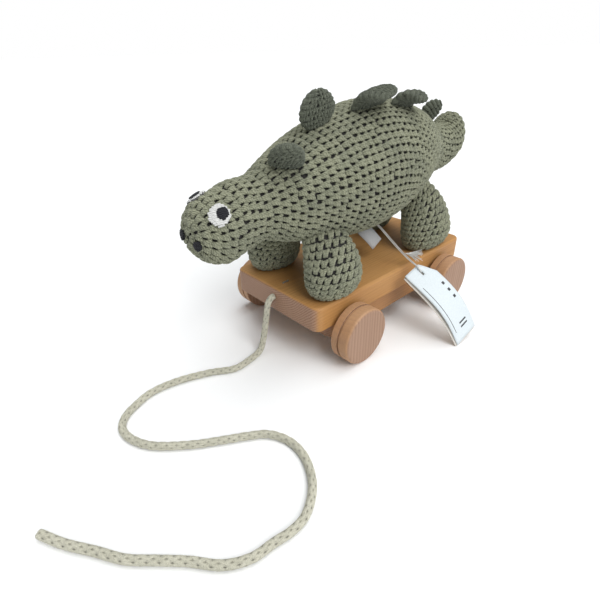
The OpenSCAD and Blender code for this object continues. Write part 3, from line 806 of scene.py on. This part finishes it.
@dataclass
class Studio:
    """Camera, floor and lights."""

    camera_at: Vector = field(default_factory=lambda: Vector((237.1, 196.42, 183.99)) * MM)
    right: Vector = field(default_factory=lambda: Vector((-0.7349, 0.6779, -0.0211)))
    up: Vector = field(default_factory=lambda: Vector((-0.3625, -0.3663, 0.8570)))
    back: Vector = field(default_factory=lambda: Vector((0.5732, 0.6374, 0.5149)))
    lens: float = 25.064
    room: float = 0.32
    key: float = 1.7
    top: float = 1.75
    floor_size: float = 60.0

    def camera(self, origin: Vector) -> None:
        """Set up the camera.

        Args:
            origin: The middle of the board on the floor.
        """
        data = bpy.data.cameras.new("camera")
        data.lens = self.lens
        data.sensor_width = 36
        data.clip_start = 0.01
        camera = bpy.data.objects.new("camera", data)
        turn = Matrix((self.right, self.up, self.back)).transposed().to_4x4()
        camera.matrix_world = Matrix.Translation(self.camera_at + origin) @ turn
        bpy.context.scene.collection.objects.link(camera)
        bpy.context.scene.camera = camera

    def floor(self) -> None:
        """Lay a pale floor that runs out of sight."""
        bpy.ops.mesh.primitive_grid_add(x_subdivisions=8, y_subdivisions=8, size=self.floor_size)
        floor = bpy.context.object
        floor.name = "studio_floor"
        material, n, shader = new_material("studio paper")
        spot = n.add("ShaderNodeTexCoord").outputs["Object"]
        n.put(shader.inputs["Base Color"],
              n.mix(n.noise(spot, 3.0), (0.95, 0.955, 0.96), (0.97, 0.975, 0.98)))
        shader.inputs["Roughness"].default_value = 0.9
        shader.inputs["Specular IOR Level"].default_value = 0.1
        floor.data.materials.append(material)

    def lamp(self, name: str, towards: Vector, strength: float, spread: float, colour: Colour) -> None:
        """Hang one far off, very large soft box.

        Args:
            name: The lamp's name.
            towards: Direction in which it hangs.
            strength: Light on a surface that faces it.
            spread: Width of the box as an angle, in degrees.
            colour: Colour of its light.
        """
        data = bpy.data.lights.new(name, "SUN")
        data.energy = strength
        data.angle = math.radians(spread)
        data.color = colour
        lamp = bpy.data.objects.new(name, data)
        lamp.location = towards
        lamp.rotation_euler = (-towards).to_track_quat("-Z", "Y").to_euler()
        bpy.context.scene.collection.objects.link(lamp)

    def lights(self) -> None:
        """Light the scene softly, with a key from the animal's left and an even fill from the room."""
        world = bpy.data.worlds.new("studio")
        world.use_nodes = True
        n = Nodes(world.node_tree)
        n.tree.nodes.clear()
        ray = n.add("ShaderNodeLightPath").outputs["Is Camera Ray"]
        glow = n.math("ADD", n.math("MULTIPLY", ray, 1.0 - self.room), self.room)
        tint = n.mix(ray, (0.97, 0.99, 1.0), (1.0, 1.0, 1.0))
        sky = n.add("ShaderNodeBackground", {"Color": tint, "Strength": glow})
        n.add("ShaderNodeOutputWorld", {"Surface": sky.outputs[0]})
        bpy.context.scene.world = world
        self.lamp("key_box", Vector((0.05, 0.75, 0.72)), self.key, 38.0, (1.0, 1.0, 1.0))
        self.lamp("top_box", Vector((-0.25, 0.0, 1.0)), self.top, 60.0, (0.985, 0.995, 1.0))
        bpy.context.scene.view_settings.view_transform = "Standard"


# --------------------------------------------------------------------------- the animal


@dataclass
class AnimalShape:
    """Outline of the stuffed animal, as the frame has it, in millimetres from the board's middle."""

    origin: np.ndarray
    offset: float = 2.5
    head_x: float = 122.5
    head_z: float = 99.6
    head_r: float = 20.5
    columns: int = 128
    trunk: tuple = ((112, 103, 20.7), (104, 104, 19.9), (96, 105, 19.8), (88, 105.6, 23.2), (78, 106.4, 27.5),
                    (64, 108, 32.6), (46, 109.2, 37.5), (28, 110.5, 41.2), (8, 112.5, 43.2), (-12, 114, 41.5),
                    (-28, 115, 38), (-42, 115.8, 33.6), (-54, 116.4, 28.5), (-64, 115.2, 23.5),
                    (-74, 112.4, 20.2), (-84, 111.2, 18.8), (-93, 111.2, 18.2))
    tail: tuple = ((-97.5, 130, -106, 96.5), (-100.3, 131.2, -116.5, 102.5), (-101.6, 132.8, -122.3, 111.5),
                   (-103, 134.4, -124.3, 120.5), (-105, 135.8, -122.6, 129.5), (-108.2, 137, -118.2, 134.6))

    def world(self, points: np.ndarray) -> np.ndarray:
        """Turn millimetres from the board's middle into frame metres."""
        return np.asarray(points, float) * MM + self.origin

    def middle_z(self, x: np.ndarray) -> np.ndarray:
        """Height of the body's middle line at x."""
        rows = np.array(self.trunk)[::-1]
        return np.interp(x, rows[:, 0], rows[:, 1])

    def radius(self, x: np.ndarray) -> np.ndarray:
        """Body radius at x."""
        rows = np.array(self.trunk)[::-1]
        return np.interp(x, rows[:, 0], rows[:, 2])

    def body(self) -> Skin:
        """Loft the body from nose to tail."""
        rows = []
        for angle in (86, 75, 60, 45, 30, 15, 0):
            r = self.head_r * math.cos(math.radians(angle))
            x = self.head_x + self.head_r * math.sin(math.radians(angle))
            rows.append((x, self.head_z + r, x, self.head_z - r))
        rows += [(x, z + r, x, z - r) for x, z, r in self.trunk]
        rows += list(self.tail) + [(-111.5, 137.3, -115, 136.6)]
        fine = spline(np.array(rows), 8)
        rings = []
        for tx, tz, bx, bz in fine:
            half = np.array([(tx - bx) / 2, 0, (tz - bz) / 2])
            centre = np.array([(tx + bx) / 2, self.offset, (tz + bz) / 2])
            rings.append(ring_frame(centre, half, np.array([0, np.linalg.norm(half), 0]), self.columns))
        return Skin(self.world(np.array(rings)))

    def on_body(self, x: np.ndarray, angle: np.ndarray, side: float, out: float) -> np.ndarray:
        """Find points at x, at an angle from the belly, on one side and a height over the body."""
        r = self.radius(x) + out
        return np.stack([x, self.offset + side * r * np.sin(angle),
                         self.middle_z(x) - r * np.cos(angle)], -1)


@dataclass(frozen=True)
class Crochet:
    """Yarn, gauge and slot of a crocheted part: it shows stitches over a dark ground sheet whose colour is
    painted shade.
    """

    gauge: Gauge
    seed: int
    yarn: YarnFinish
    ground: YarnFinish
    slot: Slot

    def lay(self, name: str, skin: Skin, replaced: Sequence[str], parts: int = 1) -> None:
        """Crochet one surface.

        Args:
            name: Stem of the pieces' names.
            skin: The surface.
            replaced: CAD nodes that this stands for.
            parts: How many pieces to split the stitches in.
        """
        # The ground sheet's near black finish is painted shade, showing through the gaps between the
        # stitches.
        base = skin.offset(GROUND_DEPTH * self.gauge.yarn)
        attach(base.to_object(f"{name}_ground", WARDROBE.of(self.ground)), self.slot, *replaced)
        for i in range(parts):
            stitches = skin.stitches(self.gauge, self.seed, (i / parts, (i + 1) / parts))
            piece = stitches.to_object(f"{name}_stitches_{i + 1}", WARDROBE.of(self.yarn))
            attach(piece, self.slot)
        LOG.info("%s: %d rounds of stitches", name, round(skin.length / self.gauge.height))


@dataclass(frozen=True)
class LegSite:
    """Where a pair of legs stands and meets the belly, in millimetres and degrees."""

    foot_x: float
    foot_y: float
    half_length: float
    patch_x: float
    patch_half: float
    patch_angle: float
    patch_spread: float


@dataclass(frozen=True)
class PlateSite:
    """Where a back plate is sewn on, how it leans and its size, in millimetres and degrees."""

    name: str
    x: float
    root: float
    lean: float
    sweep: float
    height: float
    length: float
    root_share: float
    turn: float


@dataclass(frozen=True)
class Patch:
    """One embroidered patch of the face, in millimetres from the head's middle."""

    name: str
    towards: tuple[float, float, float]
    radius: float
    low: float
    thick: float
    yarn: YarnFinish
    slot: Slot


PLATES = (PlateSite("neck", 82, 28, 68, 9, 20.5, 20.5, 0.95, -44),
          PlateSite("shoulder", 49, 8, 10, -8, 21, 27, 0.6, -5),
          PlateSite("back", 12.5, 17, 99, 15, 27, 29, 0.95, -10),
          PlateSite("rump", -17, 24, 115, 25, 23, 27, 1.0, 0),
          PlateSite("tail", -67, 9, 52, 30, 17.5, 17, 0.95, -7))
FACE = (Patch("eye_white_left", (7, 14.6, 13), 5.8, -0.1, 0.8, WHITE_YARN, Slot.WHITE),
        Patch("eye_white_right", (6.5, -8.5, 17.2), 5.8, -0.1, 0.8, WHITE_YARN, Slot.WHITE),
        Patch("pupil_left", (5.4, 14.9, 13.2), 3.3, 0.5, 0.9, BLACK_YARN, Slot.BLACK),
        Patch("pupil_right", (7, -7.4, 17.9), 3.3, 0.5, 0.9, BLACK_YARN, Slot.BLACK),
        Patch("nostril_left", (19, 8.3, -2.7), 2.7, 0.0, 0.9, BLACK_YARN, Slot.BLACK),
        Patch("nostril_right", (20.3, -3.7, 0.8), 2.7, 0.0, 0.9, BLACK_YARN, Slot.BLACK))


@dataclass
class Animal:
    """The crocheted animal: body, legs, back plates and face."""

    shape: AnimalShape
    deck_top: float
    body_crochet: Crochet = Crochet(Gauge(), 11, GREEN_YARN, GREEN_GAP_SHADE, Slot.GREEN)
    leg_crochet: Crochet = Crochet(
        Gauge(width=5.2 * MM, height=4.3 * MM, yarn=1.06 * MM, drift=0.38, spread=0.38, foot=0.14,
              waist=0.6, lean=0.3, reach=0.84, bar=0.22), 23, GREEN_YARN, GREEN_GAP_SHADE, Slot.GREEN)
    plate_crochet: Crochet = Crochet(
        Gauge(width=3.5 * MM, height=3.1 * MM, yarn=0.86 * MM, drift=0.2, spread=0.36, foot=0.17,
              waist=1.0, reach=0.9, sides=6, rings=5), 41, DARK_YARN, DARK_GAP_SHADE, Slot.DARK_GREEN)
    front: LegSite = LegSite(60.0, 30.0, 21.5, 57.0, 15.0, 32.0, 21.0)
    hind: LegSite = LegSite(-49.0, 28.0, 25.0, -44.0, 12.0, 31.0, 21.0)
    foot_half_width: float = 16.5
    foot_edge: float = 8.0
    foot_height: float = 14.0
    sole_gap: float = 0.1
    leg_columns: int = 96
    plate_columns: int = 64
    plate_thickness: float = 9.0
    satin_yarn: float = 0.62

    def build(self) -> None:
        """Make every crocheted piece."""
        self.body_crochet.lay("body", self.shape.body(), ["body_cover", "body_filling"], 3)
        for place, site in (("front", self.front), ("rear", self.hind)):
            for side, hand in (("left", 1.0), ("right", -1.0)):
                name = f"{place}_{side}"
                self.leg_crochet.lay(f"leg_{name}", self.leg(site, hand),
                                     [f"leg_cover_{name}", f"leg_filling_{name}"])
        for plate in PLATES:
            self.plate_crochet.lay(f"plate_{plate.name}", self.plate(plate), [f"plate_{plate.name}"])
        for patch in FACE:
            piece = self.satin(patch).to_object(f"{patch.name}_sewn", WARDROBE.of(patch.yarn))
            attach(piece, patch.slot, patch.name)
        LOG.info("face: %d embroidered patches", len(FACE))

    def leg(self, site: LegSite, side: float) -> Skin:
        """Loft one leg from its sole to the belly.

        Args:
            site: Where it stands and meets the belly.
            side: 1 for left and -1 for right.

        Returns:
            The leg's surface.
        """
        a = TAU * np.arange(self.leg_columns) / self.leg_columns
        sole, edge = self.deck_top + self.sole_gap, self.foot_edge

        def oval(half_x: float, half_y: float, z: float) -> np.ndarray:
            """Return one level ring of the foot."""
            return np.stack([site.foot_x + half_x * np.cos(a),
                             self.shape.offset + side * site.foot_y + half_y * np.sin(a),
                             np.full(self.leg_columns, z)], -1)

        rows = [oval(share * (site.half_length - edge), share * (self.foot_half_width - edge), sole)
                for share in (0.35, 0.7)]
        for angle in np.radians((0, 20, 40, 60, 75, 90)):
            inset = edge * (1 - math.sin(angle))
            rows.append(oval(site.half_length - inset, self.foot_half_width - inset,
                             sole + self.foot_height * (1 - math.cos(angle))))
        foot = rows[-1]
        x = site.patch_x + site.patch_half * np.cos(a)
        angle = np.radians(site.patch_angle + side * site.patch_spread * np.sin(a))
        top = self.shape.on_body(x, angle, side, -1.2)
        middle = foot + np.array([0.15, 0.15, 0.62]) * (top - foot)
        for k in np.linspace(0, 1, 9)[1:]:
            rows.append((1 - k) ** 2 * foot + 2 * k * (1 - k) * middle + k * k * top)
        return Skin(self.shape.world(dense(np.array(rows), 4)))

    def plate(self, site: PlateSite) -> Skin:
        """Loft one back plate from its root to its tip.

        Args:
            site: Where it is sewn on, how it leans and its size.

        Returns:
            The plate's surface.
        """
        x, height, s = site.x, site.height, self.shape
        be, le, sw, tu = np.radians([site.root, site.lean, site.sweep, site.turn])
        dr = float(s.radius(x + 4) - s.radius(x - 4)) / 8
        dz = float(s.middle_z(x + 4) - s.middle_z(x - 4)) / 8
        r0 = float(s.radius(x)) - 0.3
        base = np.array([x, s.offset + r0 * math.sin(be), float(s.middle_z(x)) + r0 * math.cos(be)])
        t0 = unit(np.array([1, dr * math.sin(be), dz + dr * math.cos(be)]))
        n0 = np.array([-(dr + dz * math.cos(be)), math.sin(be), math.cos(be)])
        d0 = unit(n0 - (n0 @ t0) * t0)
        chord0 = math.cos(tu) * t0 + math.sin(tu) * np.cross(d0, t0)
        d1 = np.array([-math.sin(sw), math.sin(le) * math.cos(sw), math.cos(le) * math.cos(sw)])

        def swell(u: float, widest: float, root: float) -> float:
            """Share of the full size at u: out from the root's share, then round to nothing."""
            if u > widest:
                return math.sqrt(max(0, 1 - ((u - widest) / (1 - widest)) ** 2))
            return root + (1 - root) * math.sin(math.pi / 2 * u / widest)

        middle = base + 0.4 * height * d0
        end = middle + 0.6 * height * d1
        rings = []
        for u in 1 - (1 - np.linspace(0, 1, 40)[:-1]) ** 1.6:
            c = (1 - u) ** 2 * base + 2 * u * (1 - u) * middle + u * u * end
            d = unit((1 - u) * (middle - base) + u * (end - middle))
            chord = unit(chord0 - (d @ chord0) * d)
            wide = swell(u, 0.42, site.root_share) * site.length / 2
            deep = swell(u, 0.6, 0.75) * self.plate_thickness / 2
            rings.append(ring_frame(c, wide * chord, deep * np.cross(d, chord), self.plate_columns))
        return Skin(s.world(np.array(rings)))

    def satin(self, patch: Patch) -> MeshData:
        """Fill a round patch on the head with close satin stitches.

        Args:
            patch: The patch's place and size.

        Returns:
            The strands of the patch.
        """
        radius, yarn = patch.radius, self.satin_yarn
        rng = np.random.default_rng(int(radius * 100 + patch.towards[0] * 10))
        n = unit(np.array(patch.towards, float))
        s = unit(np.cross((0, 0, 1), n))
        t = np.cross(n, s)
        lines = np.arange(-radius, radius + 0.01, yarn * 1.55)
        k = np.linspace(-1, 1, 9)[None, :]
        half = np.sqrt(np.maximum(radius**2 - lines**2, (0.3 * radius) ** 2))[:, None]
        half = half * (1 + rng.normal(0, 0.06, half.shape))
        across = k * half
        up = lines[:, None] + 0.35 * k + rng.normal(0, 0.1, (len(lines), 1))
        crown = np.sqrt(np.clip(1 - np.abs(k) ** 4, 0.02, 1))
        out = patch.low + patch.thick * 0.75 * crown * np.ones_like(across)
        centre = np.array([self.shape.head_x, self.shape.offset, self.shape.head_z])
        r = self.shape.head_r
        normal = unit(n * r + across[..., None] * s + up[..., None] * t)
        points = self.shape.world(centre + normal * (r + out[..., None]))
        along = unit(np.gradient(points, axis=1))
        side = unit(np.cross(along, normal))
        tone = np.stack([np.repeat(rng.uniform(0, 1, (len(lines), 1)), k.size, axis=1),
                         np.full(across.shape, 0.75)], -1)
        return swept(points, side, normal, np.full(across.shape, yarn * MM), 0.9, 6, tone)


# --------------------------------------------------------------------------- cords


@dataclass
class PullString:
    """The braided pull string, from its hole in the board to its cut end on the floor."""

    origin: np.ndarray
    front: float
    hole_z: float
    diameter: float = 4.5
    lay: float = 22.0
    fall: tuple = ((-15, 0, 1), (-7, 0, 1), (0, 0, 1), (2.5, 0, 0.985), (4.6, 0, 0.92), (6, 0, 0.8),
                   (7.4, 0, 0.62), (9, 0, 0.42), (11.2, 0.5, 0.22), (14.5, 2, 0.07), (19, 3.8, 0.015))
    lie: tuple = ((28, 5.5), (41, 6), (55, -2), (74.5, -9.5), (91, -11.5), (103, -8), (112, -3), (117, 5),
                  (116, 16), (109.5, 28), (95, 41), (81.5, 50), (68.5, 58), (59.5, 65), (54.5, 76), (55, 88),
                  (60, 99), (67, 107), (77, 113), (86, 114), (95.5, 112.5), (106, 111), (116.5, 105),
                  (126, 94), (135, 85), (145, 75), (153, 63), (162, 50), (169, 37))

    def route(self) -> np.ndarray:
        """Return the string's own points in frame metres."""
        r = self.diameter / 2
        down = [(self.front + x, y, r + k * (self.hole_z - r)) for x, y, k in self.fall]
        flat = [(self.front + x, y, r) for x, y in self.lie]
        return np.array(down + flat, float) * MM + self.origin

    def build(self) -> None:
        """Braid the string along its route."""
        path = spline(self.route(), 24)
        length = float(np.linalg.norm(np.diff(path, axis=0), axis=1).sum())
        braid = self.braid(path, length)
        piece = braid.to_object("pull_string_braid", WARDROBE.of(CREAM_YARN))
        attach(piece, Slot.STRING, "pull_string")
        LOG.info("pull string: %.0f mm", length / MM)

    def braid(self, path: np.ndarray, length: float) -> MeshData:
        """Wind strands both ways round the path.

        Args:
            path: Fine points along the string.
            length: Its length.

        Returns:
            A core and eight strands, in one mesh.
        """
        distance = np.concatenate([[0], np.cumsum(np.linalg.norm(np.diff(path, axis=0), axis=1))])
        count = int(length / (0.8 * MM))
        at = np.linspace(0, length, count)
        centre = np.stack([np.interp(at, distance, path[:, i]) for i in range(3)], -1)
        along = unit(np.gradient(centre, axis=0))
        side = np.empty_like(along)
        held = np.array([0.0, 1.0, 0.0])
        for i, d in enumerate(along):
            held = held - (held @ d) * d
            held = held / np.linalg.norm(held)
            side[i] = held
        up = np.cross(along, side)
        radius = self.diameter / 2 * MM
        parts = []
        shut = np.sqrt(np.clip((length - at) / (0.7 * radius), 0.0004, 1))
        core = (radius * 0.80 * shut)[None]
        # Painted shade: the core that shows between the strands is given a low height, so the yarn shader
        # shades it darker.
        core_shade = np.full((1, count, 2), (0.3, 0.42))
        parts.append(swept(centre[None], side[None], up[None], core, 1.0, 8, core_shade))
        lay = self.lay * MM
        for hand in (-1, 1):
            for k in range(4):
                angle = hand * TAU * (at / lay) + TAU * k / 4 + (0.4 if hand > 0 else 0)
                weave = np.cos(4 * angle * hand)
                reach = radius * (0.76 + 0.05 * weave) * shut
                normal = np.cos(angle)[:, None] * side + np.sin(angle)[:, None] * up
                line = centre + reach[:, None] * normal
                run = unit(np.gradient(line, axis=0))
                across = unit(np.cross(run, normal))
                # Painted shade: where a strand dips under its neighbours, the weave lowers its height and the
                # yarn shader shades it darker.
                tone = np.stack([np.full(count, 0.5 + 0.4 * math.sin(3 * k + hand)),
                                 0.72 + 0.28 * weave], -1)
                parts.append(swept(line[None], across[None], normal[None],
                                   (radius * 0.46 * shut)[None], 0.48, 8, tone[None]))
        mesh = joined(parts)
        mesh.uv[:, 0] *= length / (1.6 * MM)
        return mesh


@dataclass
class HangTag:
    """The two plain cards on their thread, the thread's tassel and the care label."""

    origin: np.ndarray
    at: tuple = (7.5, 52.5, 44.7)
    turn: tuple = (47, 194, 1)
    width: float = 24.0
    length: float = 62.0
    clip: float = 7.5
    clip_height: float = 12.0
    thickness: float = 0.45
    curl: float = 6.5
    thread_width: float = 1.2
    label: tuple[float, float] = (10.9, 16.4)
    thread: tuple = ((1, 20, 73.3), (0.3, 24, 70.3), (-1, 31, 64.5), (-2.2, 37, 59.5), (-3.3, 42, 55.6),
                     (-4.1, 47.5, 52), (-4.9, 53.2, 48.9), (-6, 57.4, 44.6))

    def place(self, points: np.ndarray) -> np.ndarray:
        """Move millimetres across, along and behind the card's top corner to frame metres."""
        x, y, z = (math.radians(v) for v in self.turn)
        turn = Matrix.Rotation(z, 3, "Z") @ Matrix.Rotation(y, 3, "Y") @ Matrix.Rotation(x, 3, "X")
        return (np.asarray(points, float) @ np.array(turn).T + np.array(self.at)) * MM + self.origin

    def bow(self, along: float, curl: float) -> float:
        """How far the paper stands forward at a distance along the card."""
        return curl * math.sin(math.pi * (along / self.length) ** 1.15)

    def card(self, name: str, shift: tuple, finish: PlainFinish, curl: float) -> bpy.types.Object:
        """Make one curled card with a clipped corner and an eyelet.

        Args:
            name: The CAD node it stands for.
            shift: Offset across, along and behind.
            finish: Its material.
            curl: How far its middle bows out, in millimetres.

        Returns:
            The card.
        """
        columns, rows, eyelet = 13, 32, ((2, 6), (3, 6))
        grid = np.zeros((rows, columns, 3))
        for i, v in enumerate(np.linspace(0, 1, rows)):
            for j, u in enumerate(np.linspace(0, 1, columns)):
                top = max(0.0, (u * self.width - (self.width - self.clip)) / self.clip) * self.clip_height
                y = top + v * (self.length - top)
                grid[i, j] = (u * self.width, y, -self.bow(y, curl))
        points = self.place((grid + np.array(shift)).reshape(-1, 3))
        corners = [i * columns + j for i in range(rows - 1) for j in range(columns - 1)
                   if (i, j) not in eyelet]
        faces = [(a, a + 1, a + columns + 1, a + columns) for a in corners]
        card = from_faces(f"{name}_paper", points, faces, finish)
        thicken(card, self.thickness * MM, 0.0)
        attach(card, Slot.CARD, name)
        return card

    def build(self) -> None:
        """Make cards, thread, tassel and label."""
        cards = [self.card("tag_front_card", (0, 0, 0), PAPER, self.curl),
                 self.card("tag_back_card", (-1.2, 1, 1.2), PAPER_BACK, self.curl * 0.8)]
        cards.append(self.print_marks())
        tassel = self.tassel()
        self.strings()
        self.care_label()
        LOG.info("hang tag and care label")

    def print_marks(self) -> bpy.types.Object:
        """Print a plain border line and short bars on the front card."""
        squares = [(18.5, y, 2.2, 2.2) for y in (20, 26, 32)]
        bars = [(10, y, 8, 1.2) for y in (50, 53)]
        points, faces = [], []
        for x, y, w, h in [(3.2, 14, 0.5, 40), *squares, *bars]:
            rows, start = max(1, int(h / 3)), len(points)
            for v in (y + h * i / rows for i in range(rows + 1)):
                z = -self.bow(v, self.curl) - 0.27
                points += [(x, v, z), (x + w, v, z)]
            faces += [(a, a + 1, a + 3, a + 2) for a in range(start, start + 2 * rows, 2)]
        marks = from_faces("tag_marks", self.place(np.array(points)), faces, INK)
        attach(marks, Slot.CARD)
        return marks

    def strings(self) -> None:
        """Lay the two strands of the thread.
        """
        path = spline(np.array(self.thread), 10) * MM + self.origin
        along = unit(np.gradient(path, axis=0))
        side = unit(np.cross(along, (0, 0, 1)))
        up = np.cross(side, along)
        count = len(path)
        strands = []
        for hand in (-1, 1):
            spread = hand * 0.85 * MM * np.sin(np.pi * np.linspace(0.3, 0.9, count))
            line = path + spread[:, None] * side
            tone = np.full((1, count, 2), (0.7 + 0.2 * hand, 1.0))
            strands.append(swept(line[None], side[None], up[None], np.full((1, count), 0.36 * MM),
                                 1.0, 7, tone))
        mesh = joined(strands)
        mesh.uv[:, 0] *= 40
        piece = mesh.to_object("tag_thread_strands", WARDROBE.of(THREAD_YARN))
        attach(piece, Slot.THREAD, "tag_thread")

    def tassel(self) -> bpy.types.Object:
        """Fray the thread's cut ends into a small tassel."""
        rng = np.random.default_rng(5)
        count, rings = 48, 8
        root = np.array([-4.3, 43.0, 55.6])
        aim = unit(np.array([-0.72, 0.68, -0.08]))
        side = unit(np.cross(aim, (0, 0, 1)))
        up = np.cross(side, aim)
        spread = rng.uniform(-1, 1, (count, 2))
        k = np.linspace(0, 1, rings)[None, :, None]
        reach = rng.uniform(8, 13, (count, 1, 1))
        sway = spread[:, None, :1] * side + spread[:, None, 1:] * up
        line = root + k * reach * aim + (k**1.4) * 3.6 * sway + np.array([0, 0, -1.2]) * k**2
        line = line * MM + self.origin
        along = unit(np.gradient(line, axis=1))
        across = unit(np.cross(along, up))
        out = np.cross(across, along)
        radii = 0.28 * MM * (1.1 - 0.6 * k[..., 0]) * np.ones((count, rings))
        tone = np.stack([np.repeat(rng.uniform(0, 1, (count, 1)), rings, axis=1),
                         np.full((count, rings), 0.85)], -1)
        fibres = swept(line, across, out, radii, 1.0, 5, tone)
        piece = fibres.to_object("tag_tassel_fibres", WARDROBE.of(THREAD_YARN))
        attach(piece, Slot.THREAD, "tag_tassel")
        return piece

    def care_label(self) -> None:
        """Hang the blank folded label under the belly."""
        root, tip = np.array([6.2, 10.3, 69.0]), np.array([-0.6, 20, 57])
        half = np.array([-4.7, 0, 2.8])
        normal = unit(np.cross(tip - root, half))
        rows = 12
        points = [root + k * (tip - root) + j * half + 0.9 * math.sin(math.pi * k) * normal
                  for k in np.linspace(0, 1, rows) for j in (-1, -0.33, 0.33, 1)]
        corners = [4 * i + j for i in range(rows - 1) for j in range(3)]
        label = from_faces("care_label_tape", np.array(points) * MM + self.origin,
                           [(a, a + 1, a + 5, a + 4) for a in corners], TAPE)
        thicken(label, 0.4 * MM, -1.0)
        attach(label, Slot.LABEL, "care_label")


# --------------------------------------------------------------------------- the trolley


@dataclass
class Trolley:
    """The wooden trolley: its CAD pieces get their finishes here."""

    nodes: dict

    def dress(self, names: Sequence[str], finish: WoodFinish | PlainFinish) -> None:
        """Give CAD nodes a finish.

        Args:
            names: Node names.
            finish: Their finish.
        """
        material = WARDROBE.of(finish)
        for name in names:
            mesh = self.nodes[name].data
            mesh.materials.clear()
            mesh.materials.append(material)

    def build(self) -> None:
        """Dress every piece of the trolley."""
        self.dress(["deck"], BOARD_WOOD)
        self.dress(["under_board"], BLOCK_WOOD)
        self.dress([n for n in self.nodes if n.startswith("wheel_")], WHEEL_WOOD)
        self.dress([n for n in self.nodes if n.endswith("_axle")
                    or n.startswith(("axle_spacers", "foot_disc"))], AXLE_WOOD)
        self.dress(["under_board_screws", "foot_screws", "string_staple"], STEEL)
        LOG.info("trolley: %d pieces dressed", len(self.nodes))


def main() -> None:
    """Build the toy over its frame, piece by piece."""
    logging.basicConfig(level=logging.INFO, format="%(message)s")
    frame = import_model()
    low, high = (np.array(v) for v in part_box("deck"))
    origin = np.array([(low[0] + high[0]) / 2, 0.0, 0.0])
    front = (high[0] - origin[0]) / MM
    deck_top = high[2] / MM
    hole_z = low[2] / MM + HOLE_HEIGHT
    studio = Studio()
    studio.camera(Vector(origin))
    PullString(origin, front, hole_z).build()
    HangTag(origin).build()
    Trolley(frame["nodes"]).build()
    Animal(AnimalShape(origin), deck_top).build()
    studio.floor()
    studio.lights()


if __name__ == "__main__":
    main()
